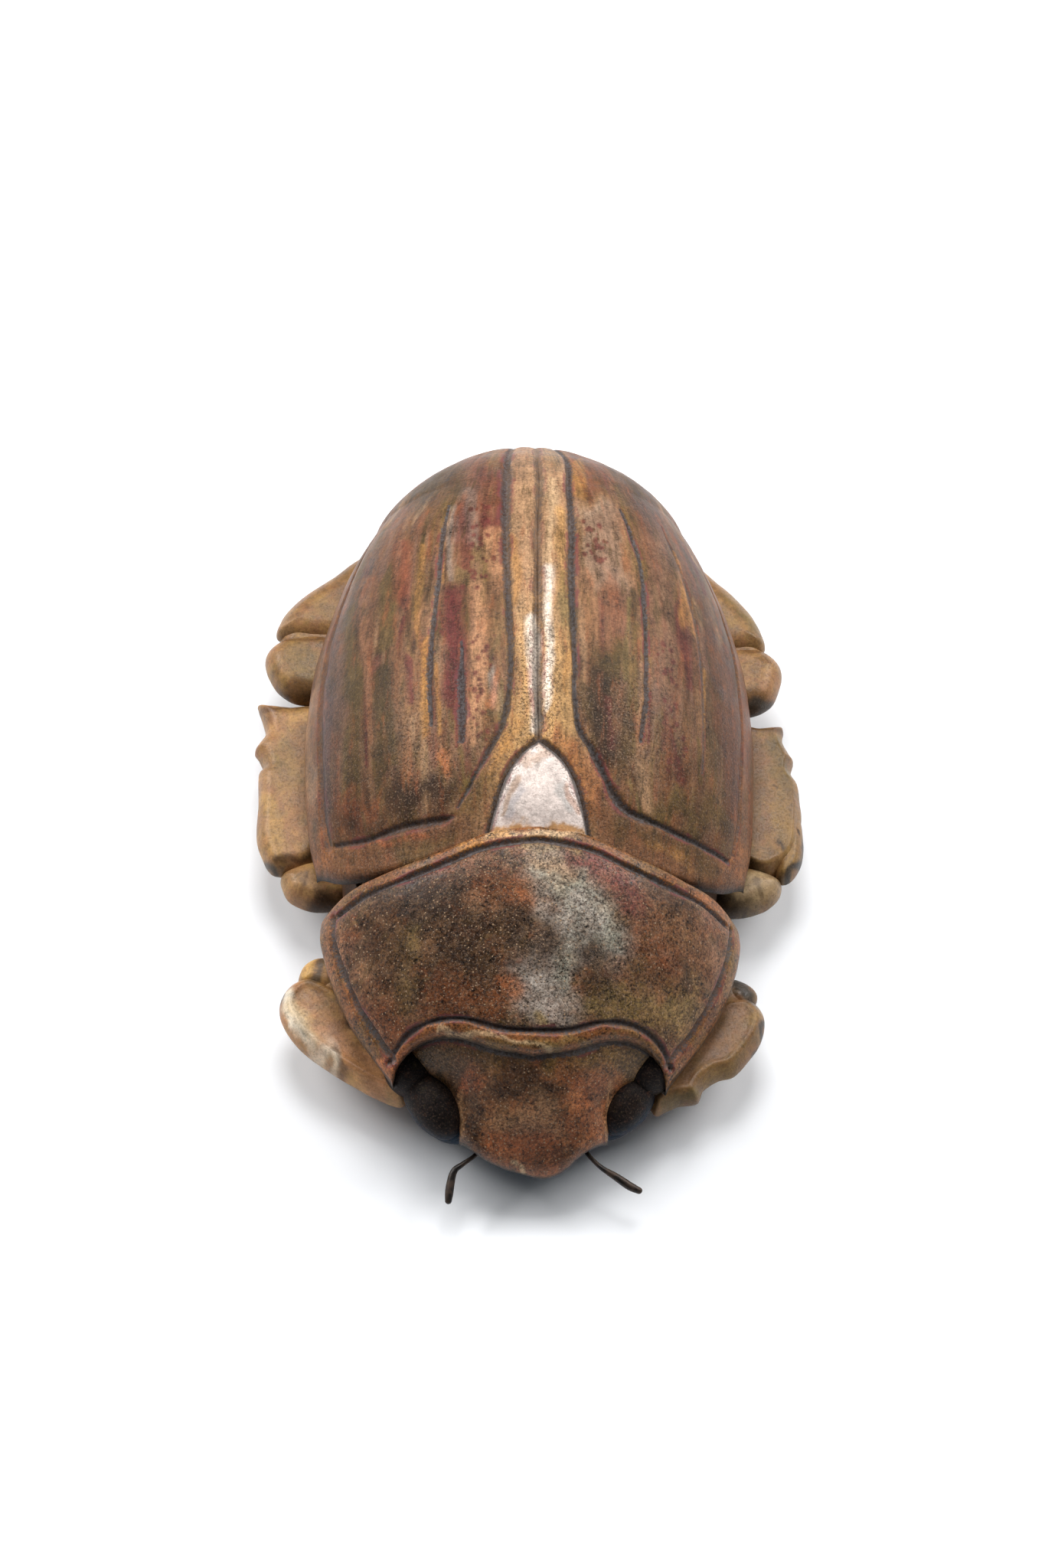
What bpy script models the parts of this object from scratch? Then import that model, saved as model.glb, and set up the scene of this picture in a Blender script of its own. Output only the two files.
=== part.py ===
"""Scarab beetle figure: one cast body with its legs folded, and two wire antennae.

The beetle lies belly down with its head towards -Y and its back up. The body is a single
casting: grooved wing cases, a thorax shield, a head plate with an eye on each side, a flat
belly and six folded legs. The antennae are bent wires set in two drilled sockets.

Form coordinates below are drawn on a grid whose unit is one millimetre at the real size.
real() turns them into metres from LENGTH, WIDTH and HEIGHT. Lips, grooves, wires and
clearances are metres of their own.
"""
import math

import bmesh
import bpy
import numpy as np
from mathutils import Matrix, Vector
from mathutils.geometry import tessellate_polygon

# Driving dimensions, in metres
LENGTH = 0.1088           # front of the head plate to the tail end of the wing cases
WIDTH = 0.0622            # across the wing cases, without the legs
HEIGHT = 0.0382           # flat underside to the highest point of the back
SHELL_LEAN = 3.0          # degrees: the back sits a little lower on its right side

WING_LIP = 0.0024         # edge thickness of the wing cases
SHIELD_LIP = 0.0020       # edge thickness of the thorax shield
HEAD_LIP = 0.0015         # edge thickness of the head plate

SEAM_WIDTH = 0.0010       # the seam between the two wing cases
SEAM_DEPTH = 0.0007
BORDER_WIDTH = 0.0012     # the grooves that frame each wing case and the shield
BORDER_DEPTH = 0.0007
RIB_WIDTH = 0.0009        # the long inner lines of the wing cases
RIB_DEPTH = 0.0004
GROOVE_REACH = 0.0010     # how far a groove cutter stands above the surface

WIRE_DIAMETER = 0.0007    # antenna stem
CLUB_DIAMETER = 0.0011    # thicker end of the antenna
SOCKET_DEPTH = 0.0030     # how deep each antenna is set in the face
SOCKET_REACH = 0.0040     # how far a socket cutter stands out of the face
CLEARANCE = 0.0003        # free space round an antenna in its socket

# The same three sizes on the drawing grid
GRID_WIDTH = 62.2
GRID_LENGTH = 108.8
GRID_HEIGHT = 38.2
SCALE = np.array((WIDTH / GRID_WIDTH, LENGTH / GRID_LENGTH, HEIGHT / GRID_HEIGHT))
LEAN_CENTRE = 14.0        # grid height of the axis that the shell leans about

WING_TAIL = 56.3          # grid y of the tail end
TAIL_ROUND = 42.0         # grid y where the tail starts to close
TAIL_HALF_WIDTH = 21.4    # grid half width there


def real(points):
    """Grid coordinates to metres."""
    return np.asarray(points, float) * SCALE


def ramp(at, stations, values):
    """Smooth curve through (station, value) pairs, read at one or many places."""
    at = np.asarray(at, float)
    xs = np.array(stations, float)
    ys = np.array(values, float)
    slope = np.gradient(ys, xs)
    i = np.clip(np.searchsorted(xs, at) - 1, 0, len(xs) - 2)
    h = xs[i + 1] - xs[i]
    t = np.clip((at - xs[i]) / h, 0.0, 1.0)
    return ((2 * t**3 - 3 * t**2 + 1) * ys[i] + (t**3 - 2 * t**2 + t) * h * slope[i]
            + (3 * t**2 - 2 * t**3) * ys[i + 1] + (t**3 - t**2) * h * slope[i + 1])


# The three shells, each a dome over a plan outline

class WingCases:
    """Half width, crown and rim heights along y, and the front edge across."""
    lip = WING_LIP
    centre_x = 0.0

    @staticmethod
    def half_width(y):
        body = ramp(y, (-18, -12, -8, -3, 3, 8, 14, 20, 26, 31, 35, 39, TAIL_ROUND),
                    (28.2, 29.1, 30.0, 30.6, 30.9, 31.1, 30.9, 30.2, 28.6, 26.8, 25.0, 23.1, TAIL_HALF_WIDTH))
        closing = np.clip((np.asarray(y, float) - TAIL_ROUND) / (WING_TAIL - TAIL_ROUND), 0.0, 1.0)
        return np.where(closing > 0.0, TAIL_HALF_WIDTH * (1.0 - closing**1.9)**0.62, body)

    @staticmethod
    def front(s):
        return ramp(abs(s), (0, 0.2, 0.4, 0.6, 0.8, 0.93, 1.0),
                    (-15.2, -15.5, -16.6, -17.2, -16.4, -14.6, -12.2))

    @staticmethod
    def back(s):
        return WING_TAIL + 0.0 * s

    @staticmethod
    def height(s, y):
        crown = ramp(y, (-18, -10, 0, 10, 20, 30, 38, 44, 49, 53, WING_TAIL),
                     (33.0, 35.6, 37.4, 38.2, 38.0, 37.1, 35.2, 32.4, 28.8, 24.0, 15.0))
        rim = WingCases.rim(y)
        mid = np.clip((np.asarray(y, float) + 18.0) / 24.0, 0.0, 1.0)
        mid = mid * mid * (3.0 - 2.0 * mid)
        dome = np.clip(1.0 - abs(s)**(1.75 + 0.45 * mid), 0.0, 1.0)**(0.78 - 0.22 * mid)
        return rim + (crown - rim) * dome

    @staticmethod
    def rim(y):
        return ramp(y, (-18, -8, 2, 12, 24, 40, WING_TAIL), (17.0, 16.0, 14.5, 13.6, 13.6, 14.0, 14.6))


class ThoraxShield:
    lip = SHIELD_LIP
    centre_x = 0.0

    @staticmethod
    def half_width(y):
        return ramp(y, (-42.2, -38, -34, -30, -26, -22, -19, -14),
                    (18.2, 21.3, 24.1, 26.1, 27.5, 28.3, 28.0, 27.4))

    @staticmethod
    def front(s):
        return ramp(abs(s), (0, 0.3, 0.5, 0.65, 0.8, 0.92, 1.0),
                    (-42.1, -41.0, -39.4, -39.0, -39.6, -40.8, -42.2))

    @staticmethod
    def back(s):
        return ramp(abs(s), (0, 0.25, 0.45, 0.7, 0.9, 1.0),
                    (-14.4, -15.2, -16.8, -17.8, -18.3, -19.6))

    @staticmethod
    def height(s, y):
        crown = ramp(y, (-42.2, -37, -32, -26, -20, -14), (23.8, 27.2, 30.2, 33.2, 35.0, 35.2))
        rim = ThoraxShield.rim(y)
        return rim + (crown - rim) * np.clip(1.0 - np.asarray(s, float)**2, 0.0, 1.0)**0.78

    @staticmethod
    def rim(y):
        return ramp(y, (-42.2, -36, -28, -20, -14), (14.0, 14.5, 15.5, 16.5, 17.0))


class HeadPlate:
    lip = HEAD_LIP
    centre_x = 0.7

    @staticmethod
    def half_width(y):
        return ramp(y, (-52.5, -48.2, -46.5, -44.5, -42.5, -40.8, -39, -36, -29),
                    (9.9, 9.9, 10.0, 10.4, 11.6, 14.2, 16.2, 16.5, 16.5))

    @staticmethod
    def front(s):
        return ramp(s, (-1.0, -0.75, -0.45, -0.15, 0.2, 0.4, 0.65, 1.0),
                    (-48.3, -50.3, -51.6, -52.2, -52.5, -51.9, -50.2, -48.0))

    @staticmethod
    def back(s):
        return -29.0 + 0.0 * s

    @staticmethod
    def height(s, y):
        crown = ramp(y, (-52.5, -50, -46, -42, -36, -29), (8.6, 12.2, 17.9, 22.2, 25.0, 27.0))
        rim = HeadPlate.rim(y)
        return rim + (crown - rim) * np.clip(1.0 - abs(s)**2.2, 0.0, 1.0)**0.8

    @staticmethod
    def rim(y):
        return ramp(y, (-52.5, -50, -46, -42, -36, -29), (8.4, 9.2, 11.0, 13.5, 16.5, 18.5))


def new_object(name, mesh_data):
    """A mesh object from a bmesh, linked to the scene."""
    mesh = bpy.data.meshes.new(name)
    bmesh.ops.recalc_face_normals(mesh_data, faces=mesh_data.faces)
    mesh_data.to_mesh(mesh)
    mesh_data.free()
    thing = bpy.data.objects.new(name, mesh)
    bpy.context.scene.collection.objects.link(thing)
    return thing


def skin(name, loops, start=None, end=None, flat_ends=False):
    """A closed solid through loops of points.

    Each end closes with a fan to its middle or to the given tip, or, with flat_ends, with
    triangles between the loop's own points, laid out as seen along Y.
    """
    work = bmesh.new()
    rows = [[work.verts.new(point) for point in loop] for loop in loops]
    count = len(rows[0])
    for a, b in zip(rows, rows[1:]):
        for i in range(count):
            j = (i + 1) % count
            work.faces.new((a[i], a[j], b[j], b[i]))
    for row, tip in ((rows[0], start), (rows[-1], end)):
        if flat_ends and tip is None:
            seen = [Vector((v.co.x / SCALE[0], v.co.z / SCALE[2], 0.0)) for v in row]
            for corner in tessellate_polygon([seen]):
                work.faces.new([row[i] for i in corner])
            continue
        middle = work.verts.new(np.mean([v.co for v in row], axis=0) if tip is None else tip)
        for i in range(count):
            work.faces.new((row[i], row[(i + 1) % count], middle))
    bmesh.ops.triangulate(work, faces=work.faces)
    return new_object(name, work)


UNDERSIDE = (1.0, 0.97, 0.82, 0.42, 0.0, -0.42, -0.82, -0.97, -1.0)   # shares of the half width
UNDER_DROP = (0.5, 0.95, 1.0, 1.0, 1.0, 1.0, 1.0, 0.95, 0.5)           # shares of the lip


def dome(name, shell, across, along, pointed_back=False):
    """A shell as a solid: its dome, a rounded lip and a flat underside."""
    side = np.sin(np.linspace(-math.pi / 2, math.pi / 2, across + 1))
    lip = shell.lip / SCALE[2]

    def ring(v, drop=0.0, retreat=0.0):
        """One loop: the dome from left to right, then the underside back again."""
        rows = []
        for s, is_top in ((side, True), (np.array(UNDERSIDE), False)):
            y = shell.front(s) + (shell.back(s) - shell.front(s)) * v
            x = shell.half_width(y) * s * (1.0 - 0.02 * abs(retreat))
            floor = shell.rim(y + retreat) - lip
            if is_top:
                z = floor + (shell.height(s, y) - shell.rim(y) + lip) * (1.0 - drop)
            else:
                z = floor + lip * (1.0 - np.array(UNDER_DROP)) * (1.0 - drop) + 0.12 * abs(retreat) * lip
            rows.append(np.column_stack((x + shell.centre_x, y + retreat, z)))
        return real(np.vstack(rows))

    steps = 1.0 - (1.0 - np.linspace(0.0, 1.0, along + 1))**(1.5 if pointed_back else 1.0)
    loops = [ring(0.0, 0.16, 1.8), ring(0.0, 0.05, 0.25)]
    loops += [ring(v) for v in (steps[:-1] if pointed_back else steps)]
    if pointed_back:
        tail = real((shell.centre_x, WING_TAIL, shell.rim(WING_TAIL) - 0.4 * lip))
        return skin(name, loops, end=tail, flat_ends=True)
    loops += [ring(1.0, 0.05, -0.25), ring(1.0, 0.16, -1.8)]
    return skin(name, loops, flat_ends=True)


def through(points, count, closed=True):
    """Evenly stepped points on a smooth curve through the given ones."""
    p = np.array(points, float)
    if not closed:
        p = np.vstack((2 * p[0] - p[1], p, 2 * p[-1] - p[-2]))
    total = len(points) if closed else len(points) - 1
    t = np.linspace(0.0, total, count, endpoint=not closed)
    t = np.minimum(t, total - 1e-9)
    i = t.astype(int)
    f = (t - i)[:, None]
    shift = 0 if closed else 1
    n = len(p)
    a, b, c, d = (p[(i + shift + k) % n] for k in (-1, 0, 1, 2))
    return 0.5 * (2 * b + (c - a) * f + (2 * a - 5 * b + 4 * c - d) * f**2 + (3 * b - a - 3 * c + d) * f**3)


def lobe(name, outline, centre, edge, rise, drop):
    """A rounded pad over a plan outline: edge height, rise above it and drop below it."""
    count = 2 * len(outline)
    rim = through(outline, count)
    middle = np.array(centre, float)
    loops = []
    for angle in (52, 14, -34):
        spread = math.cos(math.radians(angle))**0.72
        lift = math.sin(math.radians(angle))
        xy = middle + (rim - middle) * spread
        loops.append(np.column_stack((xy, np.full(count, edge + (rise if lift > 0.0 else drop) * lift))))
    top = real((*middle, edge + rise))
    bottom = real((*middle, edge - drop))
    return skin(name, [real(loop) for loop in loops], top, bottom)


def ellipsoid(name, centre, half, turn=0.0, across=12, down=6):
    """An ellipsoid, turned by degrees about the vertical."""
    loops = []
    c, s = math.cos(math.radians(turn)), math.sin(math.radians(turn))
    around = np.linspace(0.0, 2 * math.pi, across, endpoint=False)
    for k in range(1, down):
        angle = math.pi * (0.5 - k / down)
        x = half[0] * math.cos(angle) * np.cos(around)
        y = half[1] * math.cos(angle) * np.sin(around)
        z = np.full(across, half[2] * math.sin(angle))
        loops.append(np.column_stack((x * c - y * s, x * s + y * c, z)) + np.array(centre))
    poles = [real(np.array(centre) + (0.0, 0.0, sign * half[2])) for sign in (1.0, -1.0)]
    return skin(name, [real(loop) for loop in loops], poles[0], poles[1])


def boolean(target, tool, operation):
    """Join or cut with an exact boolean and drop the tool."""
    tool.hide_render = True
    tool.display_type = "WIRE"
    step = target.modifiers.new(operation, "BOOLEAN")
    step.operation = operation
    step.solver = "EXACT"
    step.object = tool
    evaluated = target.evaluated_get(bpy.context.evaluated_depsgraph_get())
    mesh = bpy.data.meshes.new_from_object(evaluated)
    target.modifiers.clear()
    target.data = mesh
    bpy.data.objects.remove(tool, do_unlink=True)


def join(target, tools):
    for tool in tools:
        boolean(target, tool, "UNION")


# Grooves, each a line on a shell

def on_shell(shell, xy, step=0.05):
    """Points and outward normals in metres at plan positions on a shell."""
    def place(x, y):
        half = shell.half_width(y)
        s = np.clip((x - shell.centre_x) / half, -0.999, 0.999)
        return real(np.column_stack((x, y, shell.height(s, y))))
    x, y = xy[:, 0], xy[:, 1]
    along_x = place(x + step, y) - place(x - step, y)
    along_y = place(x, y + step) - place(x, y - step)
    normal = np.cross(along_x, along_y)
    return place(x, y), normal / np.linalg.norm(normal, axis=1)[:, None]


def groove(shell, points, count, width, depth, fade=(False, False)):
    """A V-shaped cutter along a line on a shell; a faded end rises out of the surface."""
    at, normal = on_shell(shell, through(points, count, closed=False))
    ahead = np.gradient(at, axis=0)
    ahead /= np.linalg.norm(ahead, axis=1)[:, None]
    across = np.cross(normal, ahead)
    across /= np.linalg.norm(across, axis=1)[:, None]
    bottom = np.full(count, -depth)
    if fade[0]:
        bottom[0] = 0.2 * depth
    if fade[1]:
        bottom[-1] = 0.2 * depth
    spread = 0.5 * width * (GROOVE_REACH + depth) / depth
    top = at + normal * GROOVE_REACH
    low = at + normal * bottom[:, None]
    return skin("groove", np.stack((top - across * spread, top + across * spread, low), axis=1))


SEAM = ((0.0, -2.6), (-0.1, 10.0), (-0.1, 25.0), (0.0, 40.0), (0.0, 50.5), (0.0, 54.6))
SCUTELLUM = ((-6.8, -14.6), (-5.6, -11.0), (-4.1, -8.0), (-2.4, -5.0), (0.0, -2.3),
             (2.6, -3.9), (4.6, -6.6), (5.7, -9.8), (6.8, -14.6))
LEFT_BORDER = ((-1.6, 53.6), (-3.6, 49.0), (-4.2, 41.0), (-4.3, 32.0), (-4.1, 21.0), (-3.8, 8.0),
               (-4.6, 0.6), (-7.2, -5.3), (-9.6, -9.9), (-12.6, -12.2), (-18.9, -12.2), (-26.6, -10.6))
RIGHT_BORDER = ((1.6, 53.6), (3.8, 49.0), (4.6, 41.0), (4.5, 32.0), (4.4, 21.0), (4.6, 6.0),
                (5.6, -0.8), (7.6, -4.0), (9.4, -7.6), (12.2, -10.0), (16.8, -10.9), (26.4, -11.0))
INNER_RIBS = (((-14.2, 1.0), (-14.3, 12.0), (-13.4, 25.0), (-12.3, 37.0)),
              ((-10.2, -2.4), (-10.0, 5.0), (-9.9, 15.5)),
              ((13.6, -1.0), (14.5, 9.0), (14.3, 19.0), (13.2, 31.0), (11.6, 39.0)))
SHIELD_BORDER_FRONT = (-39.9, -39.6, -38.2, -37.7, -37.9, -38.7, -40.3)


def side_line(sign, inset=1.25):
    """The groove just inside the wing cases' side edge."""
    ys = np.linspace(-9.5, 44.0, 8)
    return [(sign * (WingCases.half_width(y) - inset), y) for y in ys]


def shield_border():
    """The four runs of the groove inside the shield's rim: back, front and both sides."""
    back = [(x, ThoraxShield.back(x / 28.0) - 2.3) for x in np.linspace(-26.2, 26.2, 9)]
    half_front = list(zip((0.0, 4.5, 9.0, 12.5, 15.2, 17.2, 18.9), SHIELD_BORDER_FRONT))
    front = half_front[::-1] + [(-x, y) for x, y in half_front[1:]]
    sides = [[(sign * (ThoraxShield.half_width(y) - 1.4), y) for y in np.linspace(-20.9, -40.2, 6)]
             for sign in (-1.0, 1.0)]
    return back, front, *sides


def leaned(thing):
    """The whole shell, its cutters too, leans a little about the long axis."""
    pivot = Matrix.Translation(Vector(real((0.0, 0.0, LEAN_CENTRE))))
    thing.data.transform(pivot @ Matrix.Rotation(math.radians(SHELL_LEAN), 4, "Y") @ pivot.inverted())
    return thing


def build_shells():
    """Wing cases, thorax shield and head plate."""
    return [leaned(dome("wing cases", WingCases, 22, 18, pointed_back=True)),
            leaned(dome("thorax shield", ThoraxShield, 20, 8)),
            leaned(dome("head plate", HeadPlate, 16, 7))]


def build_grooves():
    """Cutters for the carved lines of the shells."""
    cutters = [groove(WingCases, SCUTELLUM, 11, SEAM_WIDTH, SEAM_DEPTH),
               groove(WingCases, SEAM, 15, SEAM_WIDTH, SEAM_DEPTH)]
    for line in (LEFT_BORDER, RIGHT_BORDER):
        cutters.append(groove(WingCases, line, 22, BORDER_WIDTH, BORDER_DEPTH))
    for sign in (-1.0, 1.0):
        cutters.append(groove(WingCases, side_line(sign), 15, BORDER_WIDTH, BORDER_DEPTH, fade=(False, True)))
    for line in INNER_RIBS:
        cutters.append(groove(WingCases, line, 8, RIB_WIDTH, RIB_DEPTH, fade=(True, True)))
    for line, count in zip(shield_border(), (19, 17, 8, 8)):
        cutters.append(groove(ThoraxShield, line, count, BORDER_WIDTH, BORDER_DEPTH))
    return [leaned(cutter) for cutter in cutters]


# Belly, face and legs

BELLY = ((0.0, 20.5, -39.5, 46.0), (1.4, 23.0, -42.5, 49.0), (6.0, 25.2, -45.0, 51.5),
         (12.0, 26.2, -45.5, 52.3), (16.5, 24.5, -42.0, 50.0))     # height, half width, front, back


def build_belly():
    """A flat-bottomed bowl under the shells."""
    around = np.linspace(0.0, 2 * math.pi, 28, endpoint=False)
    c, s = np.cos(around), np.sin(around)
    loops = []
    for height, half, front, back in BELLY:
        x = half * np.sign(c) * abs(c)**(2 / 2.4)
        y = (front + back) / 2 + (back - front) / 2 * np.sign(s) * abs(s)**(2 / 2.4)
        loops.append(real(np.column_stack((x, y, np.full(len(x), height)))))
    return skin("belly", loops)


LOBES = {
    # left legs: front, middle, hind
    "front knee left": (((-28.5, -20.2), (-31.2, -21.8), (-32.6, -24.4), (-30.5, -26.4), (-26.0, -25.5),
                         (-24.5, -22.0)), (-28.6, -23.4), 8.0, 3.2, 4.0),
    "front shin left": (((-29.0, -23.4), (-32.4, -24.6), (-33.9, -27.6), (-33.2, -31.0), (-30.2, -35.2),
                         (-24.6, -39.6), (-19.8, -42.2), (-16.6, -42.2), (-16.2, -39.0), (-19.5, -34.0),
                         (-23.5, -27.5)), (-27.4, -31.4), 7.6, 3.4, 4.2),
    "middle shin left": (((-29.0, 18.6), (-34.0, 19.3), (-38.2, 19.1), (-37.5, 15.6), (-38.3, 12.3),
                          (-37.5, 9.6), (-37.9, 4.0), (-37.3, -2.5), (-34.4, -8.0), (-29.0, -6.0),
                          (-26.0, 2.0), (-26.4, 12.0)), (-32.4, 5.5), 7.8, 3.4, 5.2),
    "middle knee left": (((-34.4, -7.0), (-34.2, -9.8), (-31.8, -12.7), (-28.0, -13.9), (-24.0, -12.0),
                          (-24.5, -7.5), (-29.5, -5.0)), (-29.6, -9.3), 7.4, 3.6, 5.0),
    "hind thigh left": (((-23.0, 43.2), (-28.3, 39.6), (-32.8, 36.0), (-35.4, 32.0), (-34.6, 29.2),
                         (-29.0, 27.8), (-22.0, 29.5), (-18.0, 37.0)), (-28.0, 34.6), 9.6, 4.0, 6.4),
    "hind shin left": (((-34.2, 29.6), (-37.0, 27.6), (-36.9, 24.0), (-34.6, 19.8), (-30.5, 18.2),
                        (-24.0, 20.0), (-23.5, 27.5), (-29.0, 30.4)), (-31.0, 24.8), 8.6, 3.8, 5.8),
    # right legs: front, middle, hind
    "front knee right": (((28.2, -23.8), (30.2, -25.6), (30.8, -27.6), (28.0, -28.6), (24.0, -27.0),
                          (24.6, -24.0)), (27.6, -26.0), 8.0, 3.0, 4.0),
    "front shin right": (((29.6, -26.2), (31.9, -29.4), (31.2, -33.0), (28.6, -37.2), (27.2, -39.4),
                          (25.0, -39.9), (23.2, -41.0), (22.3, -42.9), (20.2, -43.4), (17.8, -44.9),
                          (16.4, -43.4), (16.6, -39.5), (20.5, -33.0), (25.0, -27.6)),
                         (25.4, -33.8), 7.6, 3.2, 4.2),
    "middle shin right": (((29.0, 15.2), (32.4, 15.6), (35.5, 15.8), (35.5, 12.6), (36.7, 10.6),
                           (36.4, 8.4), (37.2, 6.6), (37.4, 1.0), (36.4, -5.0), (32.0, -8.4),
                           (27.0, -4.0), (26.4, 6.0)), (31.8, 3.4), 7.8, 3.4, 5.2),
    "middle edge right": (((35.2, 2.4), (37.5, 1.8), (37.9, -2.6), (37.3, -6.4), (35.2, -9.2),
                           (33.6, -8.2), (34.2, -3.0)), (35.9, -3.4), 7.6, 2.8, 4.2),
    "middle knee right": (((34.6, -8.2), (34.8, -11.2), (32.2, -13.8), (28.0, -15.0), (24.0, -13.0),
                           (24.5, -8.5), (29.5, -6.0)), (29.8, -10.4), 7.4, 3.6, 5.0),
    "hind thigh right": (((22.0, 42.6), (27.2, 38.6), (30.8, 34.6), (32.8, 30.4), (32.2, 27.2),
                          (27.5, 25.8), (21.5, 27.5), (17.5, 36.0)), (26.8, 32.6), 9.6, 4.0, 6.4),
    "hind shin right": (((32.6, 27.6), (35.2, 25.4), (35.1, 21.8), (33.4, 17.8), (29.5, 16.2),
                         (23.0, 18.0), (23.0, 25.5), (28.5, 28.2)), (30.0, 22.4), 8.6, 3.8, 5.8),
}

# Upper legs from the belly out to the knees: centre, half sizes and turn
THIGHS = (((-22.0, -25.0, 7.4), (9.0, 3.8, 3.6), -8.0), ((-23.0, -4.0, 7.2), (9.5, 3.8, 3.8), 30.0),
          ((22.0, -27.0, 7.4), (9.0, 3.8, 3.6), 8.0), ((23.0, -5.0, 7.2), (9.5, 3.8, 3.8), -30.0))

# Eyes, the cheeks below them and the mouth: centre, half sizes and turn
EYES = (((-12.5, -43.2, 10.2), (3.3, 5.6, 4.0), 25.0), ((12.6, -42.6, 9.6), (3.2, 5.2, 3.8), -26.0))
CHEEKS = (((-11.2, -42.2, 6.6), (3.9, 5.4, 3.4), 32.0), ((11.4, -41.8, 6.2), (3.6, 5.0, 3.2), -32.0))
MOUTH = ((0.7, -45.0, 6.4), (8.8, 4.4, 4.2), 0.0)
WAIST = ((0.0, -15.6, 15.0), (23.5, 9.0, 15.0), 0.0)


def build_body():
    """The casting: belly, waist, legs, face and shells joined into one solid, then grooved."""
    body = build_belly()
    body.name = "scarab_body"
    join(body, [ellipsoid("waist", *WAIST, across=20, down=6)])
    join(body, [ellipsoid("thigh", *thigh, across=10, down=4) for thigh in THIGHS])
    join(body, [lobe(name, *shape) for name, shape in LOBES.items()])
    join(body, [ellipsoid("cheek", *cheek) for cheek in CHEEKS])
    join(body, [ellipsoid("mouth", *MOUTH)])
    join(body, [ellipsoid("eye", *eye, across=14) for eye in EYES])
    join(body, build_shells())
    for cutter in build_grooves():
        boolean(body, cutter, "DIFFERENCE")
    return body


# Antennae

# Each wire from where it leaves the face to its tip
ANTENNAE = {"antenna_left": ((-6.4, -47.8, 7.1), (-7.3, -49.4, 7.4), (-9.0, -50.8, 7.5), (-10.1, -51.7, 7.3),
                             (-10.6, -53.4, 6.7), (-10.9, -55.9, 5.9)),
            "antenna_right": ((6.9, -47.8, 7.1), (7.8, -49.4, 7.4), (9.4, -51.2, 7.5), (11.5, -52.5, 7.1),
                              (13.3, -53.5, 6.4), (14.9, -54.0, 5.7))}


def tube(name, path, radii, sides):
    """A round tube along a path of points in metres, with a radius for each."""
    ahead = np.gradient(path, axis=0)
    ahead /= np.linalg.norm(ahead, axis=1)[:, None]
    loops = []
    for point, direction, radius in zip(path, ahead, radii):
        side = np.cross(direction, (0.0, 0.0, 1.0))
        side /= np.linalg.norm(side)
        up = np.cross(side, direction)
        turn = np.linspace(0.0, 2 * math.pi, sides, endpoint=False)[:, None]
        loops.append(point + radius * (side * np.cos(turn) + up * np.sin(turn)))
    return skin(name, loops)


def socket_line(points):
    """Where a wire leaves the face, and the direction it is set in."""
    face, next_point = real(points[0]), real(points[1])
    return face, (next_point - face) / np.linalg.norm(next_point - face)


def build_antenna(name, points):
    """A wire whose outer half thickens into a club, rounded off at the end."""
    face, direction = socket_line(points)
    path = real(through(points, 13, closed=False))
    path = np.vstack((face - direction * SOCKET_DEPTH, path))
    share = np.linspace(0.0, 1.0, len(path))
    radii = 0.5 * ramp(share, (0.0, 0.58, 0.75, 0.93, 1.0),
                       (WIRE_DIAMETER, WIRE_DIAMETER, CLUB_DIAMETER, CLUB_DIAMETER, 0.55 * CLUB_DIAMETER))
    return tube(name, path, radii, 6)


def build_socket(points):
    """The drilled hole that an antenna is set in, open at the face."""
    face, direction = socket_line(points)
    path = np.linspace(face - direction * (SOCKET_DEPTH + CLEARANCE), face + direction * SOCKET_REACH, 3)
    return tube("socket", path, [0.5 * WIRE_DIAMETER + CLEARANCE] * 3, 8)


def material(name, colour, roughness, metallic):
    made = bpy.data.materials.new(name)
    made.use_nodes = True
    shader = made.node_tree.nodes["Principled BSDF"]
    shader.inputs["Base Color"].default_value = (*colour, 1.0)
    shader.inputs["Roughness"].default_value = roughness
    shader.inputs["Metallic"].default_value = metallic
    return made


def finish(thing, look, crease=40.0):
    """Shade smooth with creases and give the piece its material."""
    work = bmesh.new()
    work.from_mesh(thing.data)
    bmesh.ops.triangulate(work, faces=work.faces)
    work.to_mesh(thing.data)
    work.free()
    thing.data.shade_smooth()
    thing.data.set_sharp_from_angle(angle=math.radians(crease))
    thing.data.materials.clear()
    thing.data.materials.append(look)


def main():
    for thing in list(bpy.data.objects):
        bpy.data.objects.remove(thing, do_unlink=True)
    body = build_body()
    for points in ANTENNAE.values():
        boolean(body, build_socket(points), "DIFFERENCE")
    pieces = [body] + [build_antenna(name, points) for name, points in ANTENNAE.items()]
    looks = [material("patinated bronze", (0.16, 0.10, 0.06), 0.38, 0.35)]
    looks += [material(f"dark wire {side}", (0.03, 0.022, 0.018), 0.5, 0.6) for side in ("left", "right")]
    for piece, look in zip(pieces, looks):
        finish(piece, look)
    corners = np.array([v.co for piece in pieces for v in piece.data.vertices])
    low, high = corners.min(axis=0), corners.max(axis=0)
    origin = Matrix.Translation(-Vector(((low[0] + high[0]) / 2, (low[1] + high[1]) / 2, low[2])))
    for piece in pieces:
        piece.data.transform(origin)
        piece.data.update()


main()
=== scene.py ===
# %% [markdown]
# A scarab beetle figure, cast in bronze and coloured by hand
#
# The real thing is a paperweight-sized beetle lying on a white table. Its wing cases, thorax shield and
# head plate are broad domes with carved lines, its legs are folded flat beside the body, and two bent
# wires stand for the antennae. The metal is hidden under a brown, rust and olive patina.
#
# The solid model of the figure is already packed, and this script dresses it. Each visible part is made
# again as a dense surface, so that the carved lines, the worn rims and the uneven hand finish are real
# shape, and each gets a procedural material. The solid stays in the file for collision.

import math

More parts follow.
